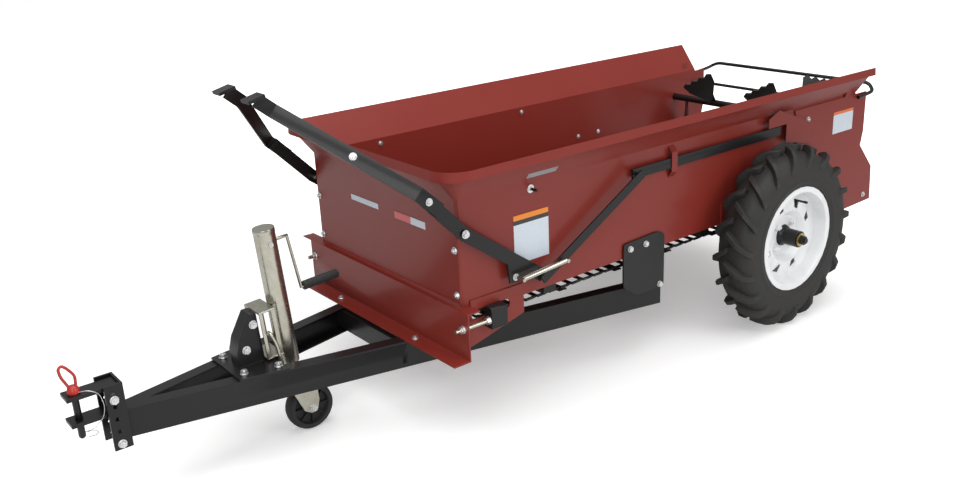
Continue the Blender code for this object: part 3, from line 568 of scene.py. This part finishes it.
# Carcass place, lug height and lag behind the tread centre, from the centre out to the sidewall.
LUG_RUN = [((-0.006, 0.2740), 0.0205, 0.0), ((0.012, 0.2740), 0.0215, 2.6), ((0.030, 0.2722), 0.0220, 5.4),
           ((0.042, 0.2670), 0.0205, 8.0), ((0.051, 0.2580), 0.0150, 10.2), ((0.0565, 0.2450), 0.0075, 12.0),
           ((0.0590, 0.2300), 0.0022, 13.2)]
LUG_HALF = 0.0085          # half width of a bar's crown
LUG_FOOT = 0.0045          # how much wider its foot is, each way
LUG_SUNK = 0.0040          # how far its foot goes into the carcass
LUG_ROUND = 0.0014


def lug_shape(sign):
    """One tread bar, as at the top of the wheel, centred on the axle."""
    work = bmesh.new()
    rings = []
    for k, ((across, radius), height, lag) in enumerate(LUG_RUN):
        one = Vector(LUG_RUN[max(k - 1, 0)][0])
        two = Vector(LUG_RUN[min(k + 1, len(LUG_RUN) - 1)][0])
        along = (two - one).normalized()
        out = Vector((-along.y, along.x))
        low = Vector((across, radius)) - out * LUG_SUNK
        high = Vector((across, radius)) + out * height
        ring = []
        for place, half in ((low, LUG_HALF + LUG_FOOT), (high, LUG_HALF), (high, -LUG_HALF),
                            (low, -LUG_HALF - LUG_FOOT)):
            turn = math.radians(lag) + half / place.y
            ring.append(work.verts.new((sign * place.x, -place.y * math.sin(turn), place.y * math.cos(turn))))
        rings.append(ring)
    for one, two in zip(rings, rings[1:]):
        for k in range(4):
            work.faces.new((one[k], one[(k + 1) % 4], two[(k + 1) % 4], two[k]))
    work.faces.new(rings[0])
    work.faces.new(rings[-1][::-1])
    bmesh.ops.recalc_face_normals(work, faces=work.faces)
    bmesh.ops.bevel(work, geom=work.edges[:], offset=LUG_ROUND, segments=1, affect="EDGES")
    return work


NUTS = {"count": 4, "ring": 0.0508, "first": 45, "face": WHEEL_X - 0.0003}
VALVE = {"ring": 0.118, "turn": 1.15, "face": WHEEL_X + 0.014,
         "stem": (0.026, 0.0034), "cap": (0.024, 0.034, 0.0043)}
AXLE_NUT_X = 0.5175
AXLE_WASHER_X = 0.5150
AXLE_NUT = [(0, 0.0), (0.0135, 0.0), (0.0135, 0.0075), (0.0105, 0.0085), (0, 0.0085)]
AXLE_WASHER = [(0.0146, 0.0), (0.0215, 0.0), (0.0215, 0.0022), (0.0146, 0.0022)]


def on_wheel(sign, face, ring, turn):
    """A point on a circle round the axle."""
    return at(sign * face, ring * math.cos(turn), AXLE_Z + ring * math.sin(turn))


for side, sign in SIDES.items():
    centre = at(sign * WHEEL_X, 0, AXLE_Z)
    carcass = bmesh.new()
    profile = CARCASS + [(r, -h) for r, h in CARCASS[::-1]]
    lathe(carcass, profile, placed(sign * WHEEL_X, 0, AXLE_Z, ALONG_X), 96, closed=True)
    tyre = piece_from("tyre_carcass_" + side, carcass, "tyre_rubber", "wheel_" + side, 50)
    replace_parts(tyre, "tyre_" + side)
    for row, hand in (("outer", sign), ("inner", -sign)):
        bar = template("tread_bar_%s_%s" % (row, side), lug_shape(hand))
        shift = 0.0 if row == "outer" else 0.5
        turns = [(centre, (2 * math.pi * (k + shift) / LUGS, 0, 0)) for k in range(LUGS)]
        COPIES.grow("tread_%s_%s" % (row, side), "tyre_rubber", "wheel_" + side, turns, {"Template": bar}, 30)
        bpy.data.objects.remove(bar)
    turns = [math.radians(NUTS["first"] + 360 / NUTS["count"] * k) for k in range(NUTS["count"])]
    nuts = [(on_wheel(sign, NUTS["face"], NUTS["ring"], turn), (sign, 0, 0)) for turn in turns]
    bolts("wheel_nuts_" + side, "wheel_" + side, nuts, 0.019, 0.010, 0.0125, 0.0055, 0.005, "white_paint")
    valve = bmesh.new()
    spot = on_wheel(sign, VALVE["face"], VALVE["ring"], VALVE["turn"])
    stem_end, stem_radius = VALVE["stem"]
    cap_start, cap_end, cap_radius = VALVE["cap"]
    out = Vector((sign, 0, 0))
    tube(valve, [spot, spot + stem_end * out], stem_radius, 10)
    tube(valve, [spot + cap_start * out, spot + cap_end * out], cap_radius, 10)
    piece_from("valve_stem_" + side, valve, "tyre_rubber", "wheel_" + side)
    castle = bmesh.new()
    lathe(castle, AXLE_NUT, placed(sign * AXLE_NUT_X, 0, AXLE_Z, outward(sign)), 6)
    piece_from("axle_nut_" + side, castle, "brass_nut", "frame")
    washer = bmesh.new()
    lathe(washer, AXLE_WASHER, placed(sign * AXLE_WASHER_X, 0, AXLE_Z, outward(sign)), 32, closed=True)
    piece_from("axle_washer_" + side, washer, "brass_nut", "frame")


# ---------------------------------------------------------------- floor chain: hooked links and slats
CHAIN = {"front": -1.130, "rear": 0.300, "z": 0.354, "radius": 0.0295, "links": 70, "x": 0.297}
LINK_PITCH = 0.0436
LINK_WIDE = 0.0270         # half width at the open end
LINK_NARROW = 0.0190       # half width at the hooked end
LINK_THICK = 0.0060
LINK_BAR_R = 0.0036
HOOK_WIDTH = 0.034
SLATS = 7
SLAT_END = 0.060           # first slat from the front shaft
SLAT_WIDTH = 0.664
SLAT_LEVEL = 0.0335        # from the shafts' height to a slat's inner face


def chain_link():
    """One open steel link, its travel along Y and its outer face up."""
    work = bmesh.new()
    pitch, wide, narrow = LINK_PITCH, LINK_WIDE, LINK_NARROW
    for hand in (1, -1):
        bar = [(hand * narrow, -pitch * 0.42), (hand * (narrow + 0.007), -pitch * 0.42),
               (hand * (wide + 0.003), -pitch * 0.05), (hand * (wide + 0.003), pitch * 0.55),
               (hand * (wide - 0.003), pitch * 0.55), (hand * (wide - 0.003), pitch * 0.02)]
        slab(work, bar[::hand], LINK_THICK, Matrix.Identity(4))
    tube(work, [(-wide - 0.004, pitch * 0.5, 0), (wide + 0.004, pitch * 0.5, 0)], LINK_BAR_R, 8)
    hook = [(-pitch * 0.42, -0.0030), (-pitch * 0.30, 0.0), (-pitch * 0.42, 0.0055), (-pitch * 0.56, 0.0048),
            (-pitch * 0.62, 0.0010), (-pitch * 0.52, -0.0032)]
    slab(work, hook, HOOK_WIDTH, YZ_PLANE)
    return work


def chain_spots(hand):
    """Places and turns of the links round the two shafts."""
    front, rear, level, radius = (CHAIN[key] for key in ("front", "rear", "z", "radius"))
    straight = rear - front
    arc = math.pi * radius
    length = 2 * straight + 2 * arc
    spots = []
    for k in range(CHAIN["links"]):
        run = length * k / CHAIN["links"]
        if run < straight:
            place, turn = (front + run, level + radius), 0.0
        elif run < straight + arc:
            turn = -(run - straight) / radius
            place = (rear - radius * math.sin(turn), level + radius * math.cos(turn))
        elif run < 2 * straight + arc:
            place, turn = (rear - (run - straight - arc), level - radius), math.pi
        else:
            turn = math.pi - (run - 2 * straight - arc) / radius
            place = (front - radius * math.sin(turn), level + radius * math.cos(turn))
        spots.append((at(hand * CHAIN["x"], *place), (turn, 0, 0)))
    return spots


link = template("chain_link", chain_link())
links = COPIES.grow("floor_chain_links", "chain_steel", "frame", chain_spots(1) + chain_spots(-1),
                    {"Template": link})
bpy.data.objects.remove(link)
slats = bmesh.new()
for k in range(SLATS):
    y = CHAIN["front"] + SLAT_END + k * (CHAIN["rear"] - CHAIN["front"] - 2 * SLAT_END) / (SLATS - 1)
    for up in (1, -1):
        angle = [(-0.014, 0.0), (0.014, 0.0), (0.014, up * 0.0045), (0.0105, up * 0.0045),
                 (0.0105, up * 0.003), (-0.014, up * 0.003)]
        slab(slats, angle[::up], SLAT_WIDTH, placed(0, y, CHAIN["z"] + up * SLAT_LEVEL, YZ_PLANE))
piece_from("floor_chain_slats", slats, "chain_steel", "frame")
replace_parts(links, "apron_chain")


# ---------------------------------------------------------------- bolts on plates and sheets
Y_OUT, Z_UP = Vector((0, -1, 0)), Vector((0, 0, 1))


def paired(face, spots):
    """The same (y, z) spots on both sides, aimed outwards."""
    return [(at(sign * face, y, z), (sign, 0, 0)) for sign in SIDES.values() for y, z in spots]


BRACKET_FACE = 0.3636
INNER_FACE = 0.3538
HITCH_FACE = 0.0375
BLOCK_FACE = 0.0252
# Bolts: name, (place, aim) spots, across flats, head height, washer radius.
BOLT_TABLE = [
    ("plate_bolts", paired(PLATE_FACE, [(0.224, 0.6218), (0.592, 0.282), (-0.150, 0.300)]),
     0.0110, 0.0040, 0.0098),
    ("bracket_bolts", paired(BRACKET_FACE, [(-0.6155, 0.387), (-0.5504, 0.3868), (-0.4881, 0.2427)]),
     0.0150, 0.0055, 0.0095),
    ("hopper_front_bolts", [(at(sign * 0.341, FRONT_FACE, z), Y_OUT) for sign in SIDES.values()
                            for z in (0.537, 0.415)], 0.0125, 0.0050, 0.0098),
    ("channel_bolts", [(at(x, -1.2640, 0.2545), Z_UP) for x in (-0.2, 0.19)], 0.0125, 0.0050, 0.0098),
    ("hopper_inner_bolts", [(at(-sign * INNER_FACE, y, z), (sign, 0, 0)) for sign in SIDES.values()
                            for y, z in ((-0.987, 0.652), (-0.406, 0.652), (-0.138, 0.516), (-0.038, 0.517))],
     0.0115, 0.0030, 0.0085),
    ("hitch_bolts", paired(HITCH_FACE, [(-2.0257, 0.2899), (-2.0257, 0.1719)]), 0.0165, 0.0065, 0.0110),
    ("jack_base_bolts", [(at(x, y, 0.2566), Z_UP) for x, y in ((0.062, -1.706), (-0.066, -1.706),
                                                               (0.084, -1.620), (-0.084, -1.620))],
     0.0165, 0.0080, 0.0110),
    ("jack_block_bolts", paired(BLOCK_FACE, [(-1.6768, 0.2996), (-1.6500, 0.3640)]), 0.0165, 0.0070, 0.0115),
]
for name, spots, flats, head, washer in BOLT_TABLE:
    bolts(name, "frame", spots, flats, head, washer)
for side, sign in SIDES.items():
    bolts("lever_pivot_nut_" + side, "frame", [(at(sign * 0.3846, -1.221, 0.590), (sign, 0, 0))],
          0.0150, 0.0060, 0.0110)
    arm_face = Vector((sign * 0.680, -0.533, 0.496))
    arm_mid = at(sign * 0.2511, -1.440, 0.807) + 0.0032 * arm_face
    bolts("lever_joint_bolts_" + side, NODES["lever_upper_" + side]["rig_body"],
          [(at(sign * 0.3870, -1.325, 0.698), (sign, 0, 0)), (arm_mid, arm_face)], 0.0130, 0.0050)
    bolts("link_pin_nut_" + side, "lever_" + side, [(at(sign * 0.3810, -1.062, 0.431), (sign, 0, 0))],
          0.0130, 0.0050)


# ---------------------------------------------------------------- labels, tape and studs on the sheets
FILM_GAP = 0.0001
FILM_THICK = 0.0004


def film(name, corners, depth, finish):
    """A thin printed film on a sheet: its corners in order, and the vector that lifts it off the sheet."""
    work = bmesh.new()
    low = [work.verts.new(corner) for corner in corners]
    high = [work.verts.new(corner + depth) for corner in corners]
    work.faces.new(low)
    work.faces.new(high[::-1])
    for k in range(4):
        work.faces.new((low[k], high[k], high[(k + 1) % 4], low[(k + 1) % 4]))
    piece_from(name, work, finish, "frame")


def side_film(name, side, y_range, z_range, finish, face):
    sign = SIDES[side]
    (y0, y1), (z0, z1) = y_range, z_range
    corners = [at(sign * face, y, z) for y, z in ((y0, z0), (y1, z0), (y1, z1), (y0, z1))]
    film(name, corners, Vector((sign * FILM_THICK, 0, 0)), finish)


for side, sign in SIDES.items():
    side_film("side_label_" + side, side, (-1.044, -0.923), (0.453, 0.587), "side_label",
              SIDE_FACE + FILM_GAP)
    side_film("rear_label_" + side, side, (0.371, 0.486), (0.544, 0.619), "rear_label",
              PLATE_FACE + FILM_GAP)
    tape = [at(sign * (SIDE_FACE + 0.0008 + 0.067 / 0.088 * (z - 0.669)), y, z)
            for y, z in ((-1.007, 0.684), (-0.904, 0.684), (-0.904, 0.699), (-1.007, 0.699))]
    film("flare_tape_" + side, tape, Vector((sign * 0.0003, 0, -0.0002)), "grey_reflector")
    stud = bmesh.new()
    lathe(stud, [(0, 0), (0.0115, 0), (0.0115, 0.0018), (0.0068, 0.0020), (0.0068, 0.0060), (0, 0.0060)],
          placed(sign * SIDE_FACE, -0.983, 0.650, outward(sign)), 24)
    piece_from("side_stud_washer_" + side, stud, "bright_zinc", "frame")
    shank = bmesh.new()
    tube(shank, [at(sign * (SIDE_FACE + reach), -0.983, 0.650) for reach in (0.005, 0.026)], 0.0042, 10)
    piece_from("side_stud_" + side, shank, "black_paint", "frame")
    gusset = bmesh.new()
    slab(gusset, [(0.426, 0.6645), (0.462, 0.6645), (0.462, 0.700), (0.452, 0.703)], 0.003,
         placed(sign * 0.3630, 0, 0, YZ_PLANE))
    piece_from("rim_gusset_" + side, gusset, "red_paint", "frame")

# Chain tension studs: plated sleeve, with washer and nuts on the channel.
for side, sign in SIDES.items():
    stud = bmesh.new()
    tube(stud, [at(sign * 0.380, -1.2395, 0.336), at(sign * 0.380, -1.1560, 0.336)], 0.0056, 14)
    tube(stud, [at(sign * 0.380, -1.2655, 0.336), at(sign * 0.380, -1.2400, 0.336)], 0.0056, 14)
    piece_from("tension_stud_" + side, stud, "zinc", "frame")
bolts("tension_nuts", "frame", [(at(sign * 0.380, y, 0.336), Y_OUT) for sign in SIDES.values()
                                for y in (-1.2402, -1.1562)], 0.0165, 0.0085, 0.0115)

# Front stickers: name, x from and to, z from and to, print.
STICKERS = [("front_sticker_white", -0.152, -0.009, 0.567, 0.583, "white_sticker"),
            ("front_sticker_pink", 0.071, 0.148, 0.562, 0.582, "pink_sticker"),
            ("front_sticker_plain", 0.1484, 0.216, 0.562, 0.582, "white_sticker")]
for name, x0, x1, z0, z1, finish in STICKERS:
    corners = [at(x, FRONT_FACE - FILM_GAP, z) for x, z in ((x0, z0), (x1, z0), (x1, z1), (x0, z1))]
    film(name, corners, Vector((0, -FILM_THICK, 0)), finish)


# ---------------------------------------------------------------- hitch pin, its clip and lanyard
PIN_Y = -2.103
pin = bmesh.new()
BALL = [(0, 0.3235), (0.0150, 0.3235), (0.0158, 0.3265), (0.0150, 0.3310), (0.0125, 0.3380), (0.0080, 0.3425),
        (0, 0.3440)]
lathe(pin, BALL, placed(0, PIN_Y, 0), 28)
loop = [at(0, PIN_Y + y, z) for y, z in ((-0.008, 0.340), (-0.022, 0.372), (-0.024, 0.392), (-0.016, 0.399),
                                          (-0.006, 0.390), (0.010, 0.366), (0.008, 0.342))]
tube(pin, eased(loop, 0.010), 0.0036, 10)
pin_head = piece_from("hitch_pin_head", pin, "pin_red", "frame")
shank = bmesh.new()
SHANK = [(0, 0.3234), (0.0085, 0.3234), (0.0085, 0.2080), (0.0050, 0.2032), (0, 0.2032)]
lathe(shank, SHANK, placed(0, PIN_Y, 0), 28)
piece_from("hitch_pin_shank", shank, "black_paint", "frame")
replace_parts(pin_head, "hitch_pin")
clip = bmesh.new()
wire = [at(0, -2.112, 0.2150), at(0, -2.080, 0.2150), at(0.004, -2.070, 0.2110), at(0.004, -2.066, 0.2050),
        at(0.002, -2.070, 0.2000), at(0, -2.080, 0.1985), at(0, -2.090, 0.2010)]
tube(clip, eased(wire, 0.004), 0.0012, 8)
piece_from("hitch_clip", clip, "bright_zinc", "frame")
lanyard = bmesh.new()
cable = [at(0.012, -2.098, 0.327), at(0.026, -2.078, 0.331), at(0.034, -2.055, 0.318),
         at(0.040, -2.050, 0.285), at(0.034, -2.055, 0.255), at(0.020, -2.075, 0.228), at(0.006, -2.090, 0.216)]
tube(lanyard, eased(cable, 0.012), 0.0009, 6)
piece_from("hitch_lanyard", lanyard, "bright_zinc", "frame")


# ---------------------------------------------------------------- jack trim
JACK_LEAN = math.radians(4.0)
JACK_TOP = Matrix.Translation(at(0, -1.577, 0.603)) @ Matrix.Rotation(JACK_LEAN, 4, "X")
GRIP_DOWN = 0.192          # crank grip, down the jack's axis
CASTER_TRAIL = 0.033
CASTER_DROP = 0.5391


def jack_sides(half, along, up):
    """The same place on both sides of the jack, with its outward aim."""
    return [(JACK_TOP @ Vector((sign * half, along, up)), JACK_TOP.to_3x3() @ Vector((sign, 0, 0)))
            for sign in SIDES.values()]


collar = bmesh.new()
lathe(collar, [(0.0245, 0.0), (0.0285, 0.0), (0.0291, -0.0015), (0.0291, -0.0120), (0.0286, -0.0130),
               (0.0284, -0.0130), (0.0284, 0.0002), (0.0245, 0.0002)], JACK_TOP, 40, closed=True)
piece_from("jack_collar", collar, "zinc", "frame")
bolts("jack_cross_pin", "frame", jack_sides(0.0288, 0, -0.040), 0.0090, 0.0040, 0.0065)
plunger = bmesh.new()
HANDLE = [(0.044, -0.060, -0.262), (0.058, -0.060, -0.262), (0.062, -0.052, -0.290), (0.062, -0.046, -0.352)]
handle = [JACK_TOP @ Vector(point) for point in HANDLE]
tube(plunger, eased(handle, 0.014), 0.0048, 10)
piece_from("jack_swivel_handle", plunger, "zinc", "frame")
grip = bmesh.new()
RIBS = 9
RIB_FIRST = 0.084
RIB_PITCH = 0.0111
grip_profile = [(0.0058, 0.0964), (0.0058, 0.0800), (0.0112, 0.0800), (0.0125, 0.0815)]
for k in range(RIBS):
    start = RIB_FIRST + k * RIB_PITCH
    grip_profile += [(0.0125, start), (0.0125, start + 0.0082), (0.0117, start + 0.0092),
                     (0.0117, start + 0.0101)]
grip_profile += [(0.0125, 0.1845), (0.0112, 0.1860), (0.0, 0.1860)]
ALONG_Y = Matrix.Rotation(-math.pi / 2, 4, "X")
lathe(grip, [(0.0, 0.0964)] + grip_profile, JACK_TOP @ Matrix.Translation((0, 0, -GRIP_DOWN)) @ ALONG_Y, 28)
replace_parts(piece_from("crank_grip_ribbed", grip, "grip_rubber", "crank"), "crank_grip")

# Bracket round the tube: a welded ring with open side windows.
RING_HALF = 0.0425
RING_Y = (-0.0748, -0.0288)
RING_Z = (-0.338, -0.202)
RING_WALL = 0.004
inner_z = (RING_Z[0] + RING_WALL, RING_Z[1] - RING_WALL)
bracket = bmesh.new()
plates = [((-RING_HALF, RING_Y[0], inner_z[1]), (RING_HALF, RING_Y[1], RING_Z[1])),
          ((-RING_HALF, RING_Y[0], RING_Z[0]), (RING_HALF, RING_Y[1], inner_z[0]))]
for hand in (1, -1):
    low_x, high_x = sorted((hand * RING_HALF, hand * (RING_HALF - RING_WALL)))
    for start, end in ((RING_Y[0], RING_Y[0] + 0.010), (RING_Y[1] - 0.012, RING_Y[1])):
        plates.append(((low_x, start, inner_z[0]), (high_x, end, inner_z[1])))
for low, high in plates:
    corner_verts = block(bracket, low, high)
    bmesh.ops.transform(bracket, matrix=JACK_TOP, verts=corner_verts)
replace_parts(soften(piece_from("jack_bracket_frame", bracket, "zinc", "frame"), 0.0010), "jack_bracket")

# Fork: crown plate and two tapered cheeks.
fork_body = NODES["caster_fork"]["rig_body"]
fork = bmesh.new()
crown = block(fork, (-0.0265, -0.020, -0.4641), (0.0265, 0.056, -0.4601))
bmesh.ops.transform(fork, matrix=JACK_TOP, verts=crown)
CHEEK = [(-0.020, -0.4641), (0.056, -0.4641), (0.055, -0.5200), (0.046, -0.5470), (0.026, -0.5530),
         (0.006, -0.5380)]
for hand in (1, -1):
    slab(fork, CHEEK[::hand], 0.003, JACK_TOP @ Matrix.Translation((hand * 0.0250, 0, 0)) @ YZ_PLANE)
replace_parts(soften(piece_from("caster_fork_plates", fork, "zinc", fork_body), 0.0008), "caster_fork")
bolts("caster_axle_nuts", fork_body, jack_sides(0.0266, CASTER_TRAIL, -CASTER_DROP), 0.0150, 0.0065, 0.0105)

# Caster: ribbed disc with a rubber tread.
caster_centre = JACK_TOP @ Vector((0, CASTER_TRAIL, -CASTER_DROP))
caster_place = Matrix.Translation(caster_centre) @ ALONG_X
caster = bmesh.new()
# Half of the caster's section, as (radius, half width) from the tread to the bore.
CASTER = [(0.0675, 0.0080), (0.0650, 0.0170), (0.0610, 0.0205), (0.052, 0.018), (0.048, 0.006), (0.020, 0.006),
          (0.018, 0.022), (0.0065, 0.022)]
CASTER_RIBS = 8
lathe(caster, [(r, -h) for r, h in CASTER[::-1]] + CASTER, caster_place, 48, closed=True)
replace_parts(piece_from("caster_disc", caster, "caster_plastic", "caster_roller"), "caster_wheel")
rib = bmesh.new()
for hand in (1, -1):
    slab(rib, [(0.017, -0.0012), (0.051, -0.0012), (0.051, 0.0012), (0.017, 0.0012)], 0.009,
         Matrix.Translation((hand * 0.0105, 0, 0)) @ YZ_PLANE)
rib_shape = template("caster_rib", rib)
COPIES.grow("caster_ribs", "caster_plastic", "caster_roller",
            [(caster_centre, (2 * math.pi * k / CASTER_RIBS, 0, 0)) for k in range(CASTER_RIBS)],
            {"Template": rib_shape})
bpy.data.objects.remove(rib_shape)


# ---------------------------------------------------------------- camera, floor and light
camera_data = bpy.data.cameras.new("camera")
camera_data.lens = 37.466
camera_data.sensor_width = 36.0
camera_data.clip_end = 60.0
camera = bpy.data.objects.new("camera", camera_data)
bpy.context.scene.collection.objects.link(camera)
bpy.context.scene.camera = camera
RIGHT = Vector((0.61817, 0.78472, -0.04559))
UP = Vector((-0.24407, 0.24675, 0.93784))
BACK = Vector((0.74719, -0.56862, 0.34406))
camera.matrix_world = (Matrix.Translation((2.2602, -1.8613, 1.4014))
                       @ Matrix((RIGHT, UP, BACK)).transposed().to_4x4())

FLOOR_HALF = 14.0
FADE = (1.1, 2.6)          # distances between which the floor turns to plain white for the camera
floor_mesh = bpy.data.meshes.new("floor")
corners = [(-1, -1), (1, -1), (1, 1), (-1, 1)]
floor_mesh.from_pydata([(FLOOR_HALF * x, FLOOR_HALF * y, 0) for x, y in corners], [], [(0, 1, 2, 3)])
floor = bpy.data.objects.new("floor", floor_mesh)
bpy.context.scene.collection.objects.link(floor)
paint = Paint("floor_white")
seen = paint.node("ShaderNodeLightPath", out="Is Camera Ray")
reach = paint.node("ShaderNodeVectorMath", {"operation": "LENGTH"}, Vector=paint.place, out="Value")
floor_paint = paint.set(Base_Color=rgb(0.82, 0.82, 0.82), Roughness=0.9, Emission_Color=rgb(1, 1, 1),
                        Emission_Strength=(0.34 + 0.9 * paint.ramp(reach, *FADE)) * seen)
floor_mesh.materials.append(floor_paint)


def soft_box(name, place, target, size, power):
    """A square area light that faces a point."""
    data = bpy.data.lights.new(name, "AREA")
    data.shape = "SQUARE"
    data.size = size
    data.energy = power
    lamp = bpy.data.objects.new(name, data)
    bpy.context.scene.collection.objects.link(lamp)
    lamp.location = place
    lamp.rotation_mode = "QUATERNION"
    lamp.rotation_quaternion = (Vector(place) - Vector(target)).to_track_quat("Z", "Y")
    return lamp


soft_box("overhead_box", (0.4, -0.4, 4.2), (0, 0.2, 0.4), 4.5, 180)
soft_box("front_box", (3.4, -3.2, 2.6), (0, 0, 0.5), 2.6, 70)
soft_box("side_box", (4.5, 2.0, 2.6), (0, 0.4, 0.4), 2.6, 80)

world = bpy.data.worlds.new("studio")
bpy.context.scene.world = world
world.use_nodes = True
background = world.node_tree.nodes["Background"]
background.inputs["Color"].default_value = (1, 1, 1, 1)
ray = world.node_tree.nodes.new("ShaderNodeLightPath")
seen = Wire(world.node_tree, ray.outputs["Is Camera Ray"])
mirrored = Wire(world.node_tree, ray.outputs["Is Glossy Ray"])
plug(world.node_tree, background.inputs["Strength"], 0.26 + 0.74 * seen + 0.16 * mirrored)
bpy.context.scene.view_settings.view_transform = "Standard"
